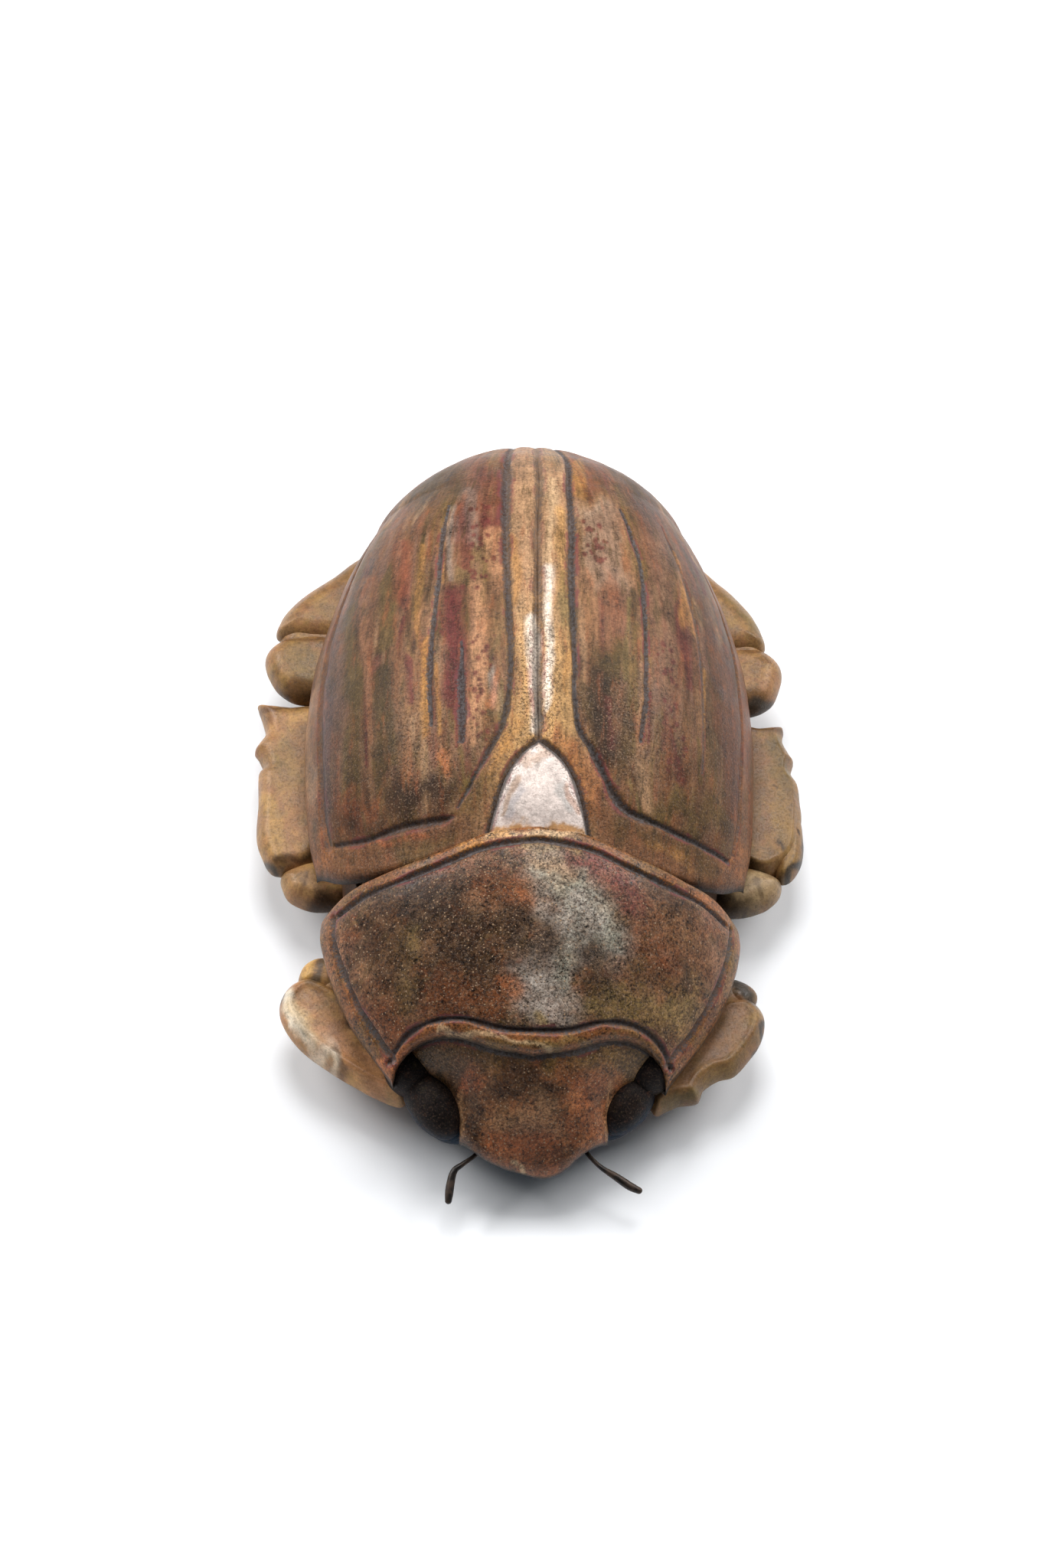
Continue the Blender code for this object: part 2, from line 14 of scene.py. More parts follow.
import bmesh
import bpy
import numpy as np
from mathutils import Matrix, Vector


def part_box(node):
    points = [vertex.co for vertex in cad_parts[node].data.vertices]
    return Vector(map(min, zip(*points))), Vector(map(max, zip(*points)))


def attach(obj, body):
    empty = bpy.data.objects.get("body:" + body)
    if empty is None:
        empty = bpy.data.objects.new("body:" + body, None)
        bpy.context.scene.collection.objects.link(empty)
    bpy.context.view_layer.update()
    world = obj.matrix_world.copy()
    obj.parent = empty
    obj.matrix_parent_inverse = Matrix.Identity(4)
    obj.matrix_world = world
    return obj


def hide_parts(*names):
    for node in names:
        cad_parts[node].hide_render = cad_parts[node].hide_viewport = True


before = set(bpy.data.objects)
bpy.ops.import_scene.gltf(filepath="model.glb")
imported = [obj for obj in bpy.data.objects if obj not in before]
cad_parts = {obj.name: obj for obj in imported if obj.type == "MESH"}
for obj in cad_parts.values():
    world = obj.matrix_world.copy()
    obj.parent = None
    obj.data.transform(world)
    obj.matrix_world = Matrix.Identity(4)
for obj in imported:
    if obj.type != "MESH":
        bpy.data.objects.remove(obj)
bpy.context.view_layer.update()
BODY, FINISH, WIRE_FINISH = "root", "patinated_bronze", "dark_wire"
print("nodes:", sorted(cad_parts))

# %% [markdown]
# The shapes below are drawn on a grid in millimetres, with x = 0 on the seam between the wing cases,
# y = 0 near the middle of the back and z = 0 on the table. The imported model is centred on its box
# instead, so the drawing is shifted until its tail end and its widest leg meet the box of the solid.

# %% From the drawing to the model
TAIL_END = 56.3        # y of the tail end in the drawing
LEFT_REACH = -38.17    # x of the leg tooth that reaches furthest left
LEAN = math.radians(3.0)
LEAN_CENTRE = 14.0     # height of the axis that the shells lean about

low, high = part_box("scarab_body")
OFFSET = np.array((low.x * 1000.0 - LEFT_REACH, high.y * 1000.0 - TAIL_END, low.z * 1000.0))


def to_model(points):
    """Drawing millimetres to metres in the model's frame."""
    return (np.asarray(points, float) + OFFSET) / 1000.0


def lean(points):
    """Turns points about the long axis: the back of the real one sits lower on its right side."""
    x, y, z = np.moveaxis(np.asarray(points, float), -1, 0)
    up = z - LEAN_CENTRE
    return np.stack((x * math.cos(LEAN) + up * math.sin(LEAN), y,
                     LEAN_CENTRE - x * math.sin(LEAN) + up * math.cos(LEAN)), axis=-1)


print("shift in mm:", OFFSET.round(3))

# %% [markdown]
# Three small tools draw every shape. A ramp is a smooth curve through a few stations, for profiles.
# A Catmull-Rom curve runs through given points, for outlines and carved lines. A cloud is a
# random field that is smooth at a chosen size, for everything that a hand or a furnace left uneven.

# %% Curves and clouds
def ramp(at, stations, values):
    """Cubic steps between stations, with the slope at each station taken from its neighbours."""
    at = np.asarray(at, float)
    xs, ys = np.array(stations, float), np.array(values, float)
    slope = np.gradient(ys, xs)
    i = np.clip(np.searchsorted(xs, at) - 1, 0, len(xs) - 2)
    h = xs[i + 1] - xs[i]
    t = np.clip((at - xs[i]) / h, 0.0, 1.0)
    return ((2 * t**3 - 3 * t**2 + 1) * ys[i] + (t**3 - 2 * t**2 + t) * h * slope[i]
            + (3 * t**2 - 2 * t**3) * ys[i + 1] + (t**3 - t**2) * h * slope[i + 1])


def through(points, count, closed=False):
    """A Catmull-Rom curve: at each step, the cubic through four neighbouring points."""
    p = np.array(points, float)
    total = len(p) if closed else len(p) - 1
    if not closed:
        p = np.vstack((2 * p[0] - p[1], p, 2 * p[-1] - p[-2]))
    t = np.minimum(np.linspace(0.0, total, count, endpoint=not closed), total - 1e-9)
    i, f = t.astype(int), (t - t.astype(int))[:, None]
    shift = 0 if closed else 1
    a, b, c, d = (p[(i + shift + k) % len(p)] for k in (-1, 0, 1, 2))
    return 0.5 * (2 * b + (c - a) * f + (2 * a - 5 * b + 4 * c - d) * f**2 + (3 * b - a - 3 * c + d) * f**3)


def cloud(x, y, size, seed, octaves=1, fall=0.5):
    """Random heights from 0 to 1 on a square lattice, blended smoothly; each octave halves the size.

    Fall is the height of each octave beside the one before it.
    """
    table = np.random.default_rng(seed).random((64, 64))
    total, weight = 0.0, 0.0
    for octave in range(octaves):
        u, v = np.asarray(x, float) * 2**octave / size, np.asarray(y, float) * 2**octave / size
        i, j = np.floor(u).astype(int), np.floor(v).astype(int)
        f, g = u - i, v - j
        f, g = f * f * (3 - 2 * f), g * g * (3 - 2 * g)
        near = table[i % 64, j % 64] * (1 - f) + table[(i + 1) % 64, j % 64] * f
        far = table[i % 64, (j + 1) % 64] * (1 - f) + table[(i + 1) % 64, (j + 1) % 64] * f
        total = total + (near * (1 - g) + far * g) * fall**octave
        weight += fall**octave
    return total / weight


def step_between(low_end, high_end, value):
    """0 below the low end, 1 above the high end and a smooth step between."""
    t = np.clip((value - low_end) / (high_end - low_end), 0.0, 1.0)
    return t * t * (3.0 - 2.0 * t)


print("cloud sample:", float(cloud(1.3, 2.7, 2.0, 1).round(3)))

# %% [markdown]
# The colouring is painted on the dense surfaces as a vertex colour, the way the real one was brushed
# with acid and pigment before it was waxed: long strokes that follow the wing cases, and dabs on the
# shield and the head. The tones are named here once. The materials add the fine grain over them.

# %% Tones
def tone(red, green, blue):
    """A colour as a painter would pick it, 0 to 255, in the linear values that the shader takes."""
    c = np.array((red, green, blue)) / 255.0
    return np.where(c <= 0.04045, c / 12.92, ((c + 0.055) / 1.055)**2.4)


TAN = tone(158, 122, 96)
PINK_TAN = tone(180, 134, 108)
PALE_TAN = tone(184, 152, 126)
MAUVE = tone(140, 110, 98)
PURPLE_GREY = tone(118, 96, 98)
BROWN = tone(128, 92, 68)
DARK_BROWN = tone(82, 58, 42)
UMBER = tone(58, 42, 32)
RUST = tone(158, 96, 66)
OLD_RUST = tone(122, 76, 52)
ORANGE = tone(196, 124, 84)
RED = tone(150, 72, 60)
MAROON = tone(112, 56, 58)
OLIVE = tone(116, 98, 62)
DARK_OLIVE = tone(86, 72, 44)
MOSS = tone(138, 124, 84)
OCHRE = tone(196, 148, 90)
GOLD = tone(214, 170, 112)
COPPER = tone(172, 116, 76)
CREAM = tone(224, 204, 178)
# PEARL_AND_HIGHLIGHT is pale metal with a painted highlight on it.
PEARL_AND_HIGHLIGHT = tone(242, 230, 224)
ASH = tone(186, 186, 194)
GREY_GREEN = tone(166, 176, 176)
SLATE = tone(72, 72, 76)
SOOT = tone(30, 28, 28)
LINE_GREY = tone(92, 88, 89)
LINE_DARK = tone(46, 42, 41)
PEACH = tone(216, 168, 138)
# SILVER_HIGHLIGHT is used only for painted highlight strokes.
SILVER_HIGHLIGHT = tone(250, 248, 255)
BAND_TAN = tone(182, 152, 128)
BAND_GOLD = tone(186, 154, 112)
LEG_OCHRE = tone(186, 148, 110)
LEG_YELLOW = tone(206, 172, 112)
LEG_BROWN = tone(140, 106, 76)


def blend(colour, paint, share):
    """Moves a colour towards another one by a share, 0 to 1, that each point has for itself."""
    return colour + (paint - colour) * share[..., None]


def to_segment(x, y, start, end):
    """Distance from each point to a straight stretch: to the nearest place on it, its ends included."""
    ax, ay = start
    dx, dy = end[0] - ax, end[1] - ay
    along = np.clip(((x - ax) * dx + (y - ay) * dy) / max(dx * dx + dy * dy, 1e-9), 0.0, 1.0)
    return np.hypot(x - ax - along * dx, y - ay - along * dy)


def brush(colour, x, y, strokes, seed, stretch=1.0, broken=3.0, fade=(1.4, 0.4)):
    """Lays strokes over a colour. Each fades from its middle line, and clouds bend and break its edge.

    A stroke is a tone, the x and y of its start and of its end, its half width and its strength.
    Stretch is how much longer than wide the broken edges are, and broken is how far they are broken
    up. Fade is where a stroke ends and where it is full, in half widths.
    """
    sway, patch, crumb = 1.5, 2.4, 2.6      # how far an edge bends, and the sizes of bend and break
    bend_x = x + sway * (cloud(x, y / stretch, patch, seed) - 0.5)
    bend_y = y + sway * stretch * (cloud(x, y / stretch, patch, seed + 1) - 0.5)
    ragged = cloud(x, y / stretch, crumb, seed + 2, octaves=5, fall=0.72) - 0.5
    for paint, x0, y0, x1, y1, width, strength in strokes:
        away = to_segment(bend_x, bend_y, (x0, y0), (x1, y1))
        colour = blend(colour, paint, strength * step_between(*fade, away / width + broken * ragged))
    return colour


def clouded(colour, x, y, layers, seed, stretch=1.0):
    """Blends clouds of other tones into a colour. A layer is a tone, a cloud size and a strength."""
    for k, (paint, size, strength) in enumerate(layers):
        share = cloud(x, y / stretch, size, seed + 7 * k, octaves=6, fall=0.80)
        colour = blend(colour, paint, strength * step_between(0.45, 0.62, share))
    return colour


print("tones ready")

# %% [markdown]
# Every piece is a closed skin of points. A top sheet is a grid of points, and its edge is rolled down
# and under in a few steps and closed with one fan of triangles, which lies hidden inside the body.
# Blender takes the arrays in one call each. Points that fall together, as at the tail, are merged.

# %% Meshes from grids
def grid_faces(rows, columns, first=0, around=False):
    """Four-cornered faces between neighbouring rows and columns of a grid of points."""
    index = first + np.arange(rows * columns).reshape(rows, columns)
    if around:
        index = np.hstack((index, index[:, :1]))
    corners = index[:-1, :-1], index[:-1, 1:], index[1:, 1:], index[1:, :-1]
    return np.stack(corners, axis=-1).reshape(-1, 4)


def normals_of(grid, around=False):
    """Unit normals of a grid of points: the cross product of its two directions."""
    if around:
        wide = np.concatenate((grid[:, -1:], grid, grid[:, :1]), axis=1)
        across = (wide[:, 2:] - wide[:, :-2]) / 2.0
    else:
        across = np.gradient(grid, axis=1)
    normal = np.cross(across, np.gradient(grid, axis=0))
    return normal / np.maximum(np.linalg.norm(normal, axis=-1, keepdims=True), 1e-9)


def make_piece(name, points, faces, material, values, node="scarab_body"):
    """A smooth mesh object from metres, lists of face arrays and named values for each point."""
    mesh = bpy.data.meshes.new(name)
    mesh.vertices.add(len(points))
    mesh.vertices.foreach_set("co", points.astype(np.float32).ravel())
    corners = np.concatenate([group.ravel() for group in faces])
    sizes = np.concatenate([np.full(len(group), group.shape[1]) for group in faces])
    mesh.loops.add(len(corners))
    mesh.loops.foreach_set("vertex_index", corners.astype(np.int32))
    mesh.polygons.add(len(sizes))
    mesh.polygons.foreach_set("loop_start", (np.cumsum(sizes) - sizes).astype(np.int32))
    mesh.update(calc_edges=True)
    for key, value in values.items():
        value = np.asarray(value, np.float32)
        if value.ndim == 1:
            mesh.attributes.new(key, "FLOAT", "POINT").data.foreach_set("value", value)
        elif key == "patina":
            rgba = np.hstack((value, np.ones((len(value), 1), np.float32)))
            mesh.attributes.new(key, "FLOAT_COLOR", "POINT").data.foreach_set("color", rgba.ravel())
        else:
            mesh.attributes.new(key, "FLOAT_VECTOR", "POINT").data.foreach_set("vector", value.ravel())
    work = bmesh.new()
    work.from_mesh(mesh)
    bmesh.ops.remove_doubles(work, verts=work.verts, dist=1e-6)
    bmesh.ops.recalc_face_normals(work, faces=work.faces)
    work.to_mesh(mesh)
    work.free()
    mesh.shade_smooth()
    mesh.materials.append(material)
    piece = bpy.data.objects.new(name, mesh)
    bpy.context.scene.collection.objects.link(piece)
    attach(piece, BODY)
    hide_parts(node)
    print(f"{name}: {sum(len(face.vertices) - 2 for face in mesh.polygons)} triangles")
    return piece


CORNER_EASE = 6.0        # millimetres beside a corner over which the outward move shrinks


def rolled_shell(top, outward_share, steps):
    """The points and faces of a sheet with its edge rolled under and closed.

    The edge of the grid is followed once round. Each step of the roll moves it outwards in plan and
    down by millimetres, the outward move scaled for each side of the grid: front, right, back, left.
    Near a corner the outward move shrinks to nothing, so that two sides never cross there.
    """
    rows, columns = top.shape[:2]
    index = np.arange(rows * columns).reshape(rows, columns)
    edge = np.concatenate((index[0, :-1], index[:-1, -1], index[-1, :0:-1], index[:0:-1, 0]))
    side = np.concatenate((np.full(columns - 1, 0), np.full(rows - 1, 1),
                           np.full(columns - 1, 2), np.full(rows - 1, 3)))
    flat = top.reshape(-1, 3)
    start = flat[edge]
    ahead = np.roll(start, -2, axis=0) - np.roll(start, 2, axis=0)
    outward = np.column_stack((ahead[:, 1], -ahead[:, 0], np.zeros(len(edge))))
    length = np.linalg.norm(outward, axis=1, keepdims=True)
    outward = np.where(length > 1e-6, outward / np.maximum(length, 1e-6), 0.0)
    run = np.concatenate(([0.0], np.cumsum(np.linalg.norm(np.diff(start, axis=0), axis=1))))
    corners = run[np.searchsorted(side, (0, 1, 2, 3))]
    apart = abs(run[:, None] - np.append(corners, run[-1])[None, :]).min(axis=1)
    outward *= (np.array(outward_share)[side] * np.clip(apart / CORNER_EASE, 0.0, 1.0))[:, None]
    rings = [start + outward * out - (0.0, 0.0, down) for out, down in steps]
    middle = rings[-1].mean(axis=0)
    points = np.vstack((flat, *rings, middle))
    faces = [grid_faces(rows, columns)]
    before = edge
    for k in range(len(rings)):
        ring = len(flat) + k * len(edge) + np.arange(len(edge))
        faces.append(np.stack((before, ring, np.roll(ring, -1), np.roll(before, -1)), axis=1))
        before = ring
    faces.append(np.stack((before, np.full(len(before), len(points) - 1), np.roll(before, -1)), axis=1))
    return points, faces, edge


def with_edge(values, edge, shares, to):
    """Carries a value down the rolled edge, where each ring moves it to another one by its own share."""
    flat = values.reshape(-1, *values.shape[2:])
    parts = [flat] + [flat[edge] + (to - flat[edge]) * share for share in shares]
    return np.concatenate((*parts, parts[-1].mean(axis=0, keepdims=True)))


print("mesh tools ready")

# %% [markdown]
# Shader maths reads best as plain expressions, so one small class wraps an output socket. Adding or
# multiplying two of them, or one and a number, puts in the Math node. Colours go through Mix nodes.
# A second class stands for one material and makes every other node with a single method.

# %% Shader expressions
class Wire:
    """An output socket that takes part in arithmetic."""

    def __init__(self, finish, socket):
        self.finish, self.socket = finish, socket

    def math(self, operation, first, second):
        """One Math node, from two wires or a wire and a number."""
        return self.finish.node("Math", {"operation": operation}, {0: first, 1: second})

    def __add__(self, other):
        return self.math("ADD", self, other)

    def __sub__(self, other):
        return self.math("SUBTRACT", self, other)

    def __rsub__(self, other):
        return self.math("SUBTRACT", other, self)

    def __mul__(self, other):
        return self.math("MULTIPLY", self, other)

    __radd__ = __add__
    __rmul__ = __mul__

    def clamped(self):
        """The same value, held between 0 and 1."""
        return self.finish.node("Math", {"operation": "ADD", "use_clamp": True}, {0: self, 1: 0.0})


class Finish:
    """One material and the nodes that feed its Principled shader."""

    def __init__(self, name):
        self.material = bpy.data.materials.new(name)
        self.material.use_nodes = True
        self.tree = self.material.node_tree
        self.shader = self.tree.nodes["Principled BSDF"]
        self.place = self.node("TexCoord", output="Object")

    def node(self, kind, settings=None, inputs=None, output=0):
        """Adds a node: its settings first, then the values or wires of its sockets."""
        made = self.tree.nodes.new("ShaderNode" + kind)
        for key, value in (settings or {}).items():
            setattr(made, key, value)
        for key, value in (inputs or {}).items():
            if isinstance(value, Wire):
                self.tree.links.new(value.socket, made.inputs[key])
            else:
                made.inputs[key].default_value = value
        return Wire(self, made.outputs[output])

    def painted(self, name, output="Fac"):
        """A value, colour or vector that the piece's own points carry."""
        return self.node("Attribute", {"attribute_name": name}, output=output)

    def noise(self, size, detail=2.0, roughness=0.5, squeeze=None, place=None):
        """Soft random values around 0.5 whose features are the given millimetres across."""
        place = place or self.place
        if squeeze:
            place = self.node("Mapping", {}, {"Vector": place, "Scale": squeeze}, output="Vector")
        return self.node("TexNoise", {}, {"Vector": place, "Scale": 1000.0 / size, "Detail": detail,
                                          "Roughness": roughness})

    def between(self, low_end, high_end, value):
        """0 below one end, 1 above the other and a smooth step between."""
        return self.node("MapRange", {"interpolation_type": "SMOOTHSTEP"},
                         {"Value": value, "From Min": low_end, "From Max": high_end}, output="Result")

    def mix(self, factor, first, second, blend="MIX"):
        """Two colours through a Mix node; a three-part colour stands for itself."""
        colours = [(*c, 1.0) if isinstance(c, (tuple, np.ndarray)) else c for c in (first, second)]
        return self.node("Mix", {"data_type": "RGBA", "blend_type": blend},
                         {0: factor, 6: colours[0], 7: colours[1]}, output=2)

    def set(self, **sockets):
        """Feeds the shader's own sockets; underscores stand for spaces."""
        for key, value in sockets.items():
            socket = self.shader.inputs[key.replace("_", " ")]
            if isinstance(value, Wire):
                self.tree.links.new(value.socket, socket)
            else:
                socket.default_value = value
        return self.material


print("shader tools ready")

# %% [markdown]
# The patina. On the real figure the colour is thin and uneven: it is broken by dark pits and by a fine
# pepper of grains, its gloss comes and goes, and the carved lines have filled with slate-black
# dirt that leaves a thin rust edge. The brushed colour comes from the points of the mesh. Everything
# finer than a brush stroke is added here with noise in Object coordinates, so that it never stretches.

# %% Patina material
DOT_SPACING = 0.52                # millimetres between the tiny bubbles
DOT_TAN = tone(160, 130, 100)


def patina_finish(name, grit=1.0, dots=0.0, streaks=0.0, gloss=0.44, sheen=0.26,
                  tint=(0.76, 0.68, 0.58), clouds=1.9):
    """Brushed colour, broken by clouds, streaks, pits and dots, with filled lines and uneven gloss."""
    f = Finish(name)
    colour = f.painted("patina", output="Color")
    line, ink, polish, bubbly, gritty = map(f.painted, ("line", "ink", "polish", "bubbly", "gritty"))
    mottle = f.noise(2.6, detail=7.0, roughness=0.74)
    grain = f.noise(0.46, detail=4.0, roughness=0.72)
    speck = f.noise(0.26, detail=2.0, roughness=0.60)
    hue = f.noise(1.7, detail=6.0, roughness=0.74)

    shade = (mottle - 0.5) * clouds + (grain - 0.5) * (1.7 * grit) + (speck - 0.5) * grit + 0.98
    if streaks:
        lanes = f.painted("lane", output="Vector")
        broad = f.noise(1000.0, detail=7.0, roughness=0.70, squeeze=(0.85, 0.13, 1.0), place=lanes)
        warm = f.noise(1000.0, detail=7.0, roughness=0.70, squeeze=(0.65, 0.12, 1.0), place=lanes)
        shade = shade + (broad - 0.5) * (2.0 * streaks)
        colour = f.mix(f.between(0.52, 0.66, warm) * (0.40 * streaks), colour, RUST)
        colour = f.mix(f.between(0.47, 0.34, warm) * (0.60 * streaks), colour, DARK_OLIVE)
    colour = f.mix(f.between(0.54, 0.68, hue) * 0.30, colour, OLD_RUST)
    colour = f.mix(f.between(0.45, 0.32, hue) * 0.34, colour, DARK_OLIVE)
    colour = f.mix(1.0, colour, shade, blend="MULTIPLY")
    colour = f.mix(1.0, colour, tint, blend="MULTIPLY")

    pits = f.between(0.53, 0.64, f.noise(0.33, detail=3.0, roughness=0.62)) * gritty
    colour = f.mix(pits * 0.85, colour, UMBER)
    dust = f.between(0.55, 0.66, f.noise(0.27, detail=2.0, roughness=0.60)) * gritty
    colour = f.mix(dust * 0.27, colour, PALE_TAN)

    cells = {"Vector": f.place, "Scale": 1000.0 / DOT_SPACING}
    away = f.node("TexVoronoi", {"feature": "F1"}, cells, output="Distance")
    random_colour = f.node("TexVoronoi", {"feature": "F1"}, cells, output="Color")
    chance = f.node("SeparateColor", {}, {"Color": random_colour}, output="Red")
    radius = chance * 0.18 + 0.06
    dot = f.between(0.06, -0.05, away - radius) * f.between(0.26, 0.46, chance * bubbly)
    colour = f.mix(dot * dots, colour, DOT_TAN)

    worn_edge = line + (grain - 0.5) * 1.1 + (speck - 0.5) * 0.9
    filled = f.between(1.06, 0.46, worn_edge) * ink
    rim = f.between(1.75, 1.15, worn_edge) * ink - filled
    reddish = f.between(0.47, 0.60, f.noise(4.0, detail=3.0))
    colour = f.mix((rim * reddish).clamped() * 0.75, colour, MAROON)
    # The fill is dirt in the carved lines, and on the head plate a band of painted shade.
    dirt = f.mix(f.between(0.36, 0.62, grain), LINE_GREY, LINE_DARK)
    colour = f.mix(filled * 0.90, colour, dirt)

    height = grain * 0.5 + speck * 0.25 - pits * 0.5 + dot * (0.9 * dots)
    bump = f.node("Bump", {}, {"Strength": 0.7, "Distance": 0.00010, "Height": height}, output="Normal")
    rough = (mottle - 0.5) * 0.5 + gloss + filled * 0.18 + pits * 0.12 - polish * 0.14
    return f.set(Base_Color=colour, Roughness=rough.clamped(), Metallic=polish * 0.35 + 0.04,
                 Normal=bump, Specular_IOR_Level=sheen)


WING_FINISH = patina_finish("wing case patina", grit=1.1, dots=0.45, streaks=1.1, sheen=0.16,
                            tint=(0.68, 0.585, 0.45))
SHIELD_FINISH = patina_finish("shield patina", grit=2.4, dots=0.95, gloss=0.38, sheen=0.24,
                              tint=(0.74, 0.635, 0.49), clouds=2.9)
HEAD_FINISH = patina_finish("head patina", grit=2.2, dots=0.95, gloss=0.38, sheen=0.26,
                            tint=(0.80, 0.66, 0.49), clouds=2.9)
SCUTELLUM_FINISH = patina_finish("bright scutellum", grit=0.6, gloss=0.50, sheen=0.36,
                                 tint=(0.74, 0.70, 0.67), clouds=0.9)
print("materials:", [m.name for m in bpy.data.materials])

# %% [markdown]
# The domes. Each shell is a dome over a plan outline, as in the solid: a half width and a rim height
# along y, a crown line down the middle, and an exponent that says how round the cross section is. The
# share s runs from -1 at the left rim to 1 at the right rim.

# %% Shell shapes
TAIL_ROUND = 42.0          # y where the tail starts to close
TAIL_HALF_WIDTH = 22.2
WING_STATIONS = (-18, -12, -8, -3, 3, 8, 14, 20, 26, 31, 35, 39, TAIL_ROUND)
WING_HALF_WIDTHS = (28.2, 29.1, 30, 30.6, 30.9, 31.1, 30.9, 30.2, 28.8, 27.3, 25.8, 23.9, TAIL_HALF_WIDTH)


class WingCases:
    """Half width, front edge and height of the wing cases, as ramps through given stations."""
    centre_x, lip = 0.0, 2.4

    @staticmethod
    def half_width(y):
        """Given stations up to the tail, then a superellipse that closes it."""
        body = ramp(y, WING_STATIONS, WING_HALF_WIDTHS)
        closing = np.clip((y - TAIL_ROUND) / (TAIL_END - TAIL_ROUND), 0.0, 1.0)
        return np.where(closing > 0.0, TAIL_HALF_WIDTH * (1.0 - closing**1.55)**0.62, body)

    @staticmethod
    def front(s):
        return ramp(abs(s), (0, 0.2, 0.4, 0.6, 0.8, 0.93, 1.0),
                    (-15.2, -15.5, -16.6, -17.2, -16.4, -14.6, -12.2))

    @staticmethod
    def rim(y):
        return ramp(y, (-18, -8, 2, 12, 24, 40, TAIL_END), (17.0, 16.0, 14.5, 13.6, 13.6, 14.0, 14.6))

    @staticmethod
    def height(s, y):
        """Rim height plus the crown's rise, shared out over the width by a superellipse."""
        crown = ramp(y, (-18, -10, 0, 10, 20, 30, 38, 44, 49, 53, TAIL_END),
                     (33.0, 35.6, 37.4, 38.2, 38.0, 37.1, 35.2, 32.4, 28.8, 24.0, 15.0))
        mid = step_between(-18.0, 6.0, y)
        dome = np.clip(1.0 - abs(s)**(1.75 + 0.45 * mid), 0.0, 1.0)**(0.78 - 0.22 * mid)
        return WingCases.rim(y) + (crown - WingCases.rim(y)) * dome


class ThoraxShield:
    """Half width, front and back edges and height of the thorax shield."""
    centre_x, lip = 0.0, 2.0

    @staticmethod
    def half_width(y):
        return ramp(y, (-42.2, -38, -34, -30, -26, -22, -19, -14),
                    (18.2, 21.3, 24.1, 26.1, 27.5, 28.3, 28.0, 27.4))

    @staticmethod
    def front(s):
        return ramp(abs(s), (0, 0.3, 0.5, 0.65, 0.8, 0.92, 1.0),
                    (-42.1, -41.0, -39.4, -39.0, -39.6, -40.8, -42.2))

    @staticmethod
    def back(s):
        return ramp(abs(s), (0, 0.25, 0.45, 0.7, 0.9, 1.0), (-14.4, -15.2, -16.8, -17.8, -18.3, -19.6))

    @staticmethod
    def height(s, y):
        crown = ramp(y, (-42.2, -37, -32, -26, -20, -14), (23.8, 27.2, 30.2, 33.2, 35.0, 35.2))
        rim = ramp(y, (-42.2, -36, -28, -20, -14), (14.0, 14.5, 15.5, 16.5, 17.0))
        return rim + (crown - rim) * np.clip(1.0 - s**2, 0.0, 1.0)**0.78


class HeadPlate:
    """Half width, front edge and height of the head plate; its back lies under the shield."""
    centre_x, lip = 0.7, 1.5

    @staticmethod
    def half_width(y):
        return ramp(y, (-52.5, -48.2, -46.5, -44.5, -42.5, -40.8, -39, -36, -29),
                    (9.9, 9.9, 10.0, 10.4, 11.6, 14.2, 16.2, 16.5, 16.5))

    @staticmethod
    def front(s):
        return ramp(s, (-1.0, -0.75, -0.45, -0.15, 0.2, 0.4, 0.65, 1.0),
                    (-48.3, -50.3, -51.6, -52.2, -52.5, -51.9, -50.2, -48.0))

    @staticmethod
    def back(s):
        return np.full_like(s, -35.0)

    @staticmethod
    def height(s, y):
        crown = ramp(y, (-52.5, -50, -46, -42, -36, -29), (8.6, 12.2, 17.9, 22.2, 25.0, 27.0))
        rim = ramp(y, (-52.5, -50, -46, -42, -36, -29), (8.4, 9.2, 11.0, 13.5, 16.5, 18.5))
        return rim + (crown - rim) * np.clip(1.0 - abs(s)**2.2, 0.0, 1.0)**0.8


def on_shell(shell, x, y):
    """Points of a shell at places in plan."""
    s = np.clip((x - shell.centre_x) / shell.half_width(y), -0.999, 0.999)
    return np.stack((x, y, shell.height(s, y)), axis=-1)


print("wing cases:", 2 * WingCases.half_width(np.array(8.0)), "mm wide")

# %% [markdown]
# The carved lines are the drawing of this object. Somebody cut them by hand in the wax or clay, so each
# has its own width that swells and thins, and it wanders a little. Here a line is a list of places and
# widths. Every point of a shell gets its distance to the nearest line in units of that line's half width,
# and that one number carves the valley, raises the soft burr beside it and later tells the material
# where dirt lies.

# %% Carved lines
SEAM = ((0, -2.5, 1.3), (-0.2, 4, 1.5), (-0.25, 12, 1.5), (-0.2, 22, 1.4), (-0.1, 32, 1.3),
        (0.3, 42, 1.2), (0.2, 50.5, 1), (0, 56, 0.9))
SCUTELLUM_LEFT = (
    (-6.9, -16, 0.9), (-6.4, -13.8, 1), (-5.6, -11, 1.1), (-4.4, -7.6, 1), (-2.5, -4.7, 1.1),
    (0, -2.5, 1.2))
SCUTELLUM_RIGHT = (
    (7, -16, 0.9), (6.5, -13.5, 1), (5.8, -10.4, 1.2), (4.8, -7.6, 1.2), (3, -4.9, 1.1), (0, -2.5, 1.2))
LEFT_BORDER = (
    (-2.2, 53.6, 1), (-3.7, 49, 1.3), (-4.3, 41, 1.5), (-4.5, 32, 1.4), (-4.3, 22, 1.2), (-3.8, 10, 1.1),
    (-4.1, 4, 1), (-5.2, -1.2, 1), (-7, -4.6, 0.9), (-8.9, -8.2, 0.6), (-10.6, -11, 0.4))
LEFT_FRONT = (
    (-11.2, -12.1, 0.4), (-13, -12.3, 1.1), (-18.4, -12, 1.2), (-22.5, -12.1, 0.9), (-26.6, -10.9, 0.9))
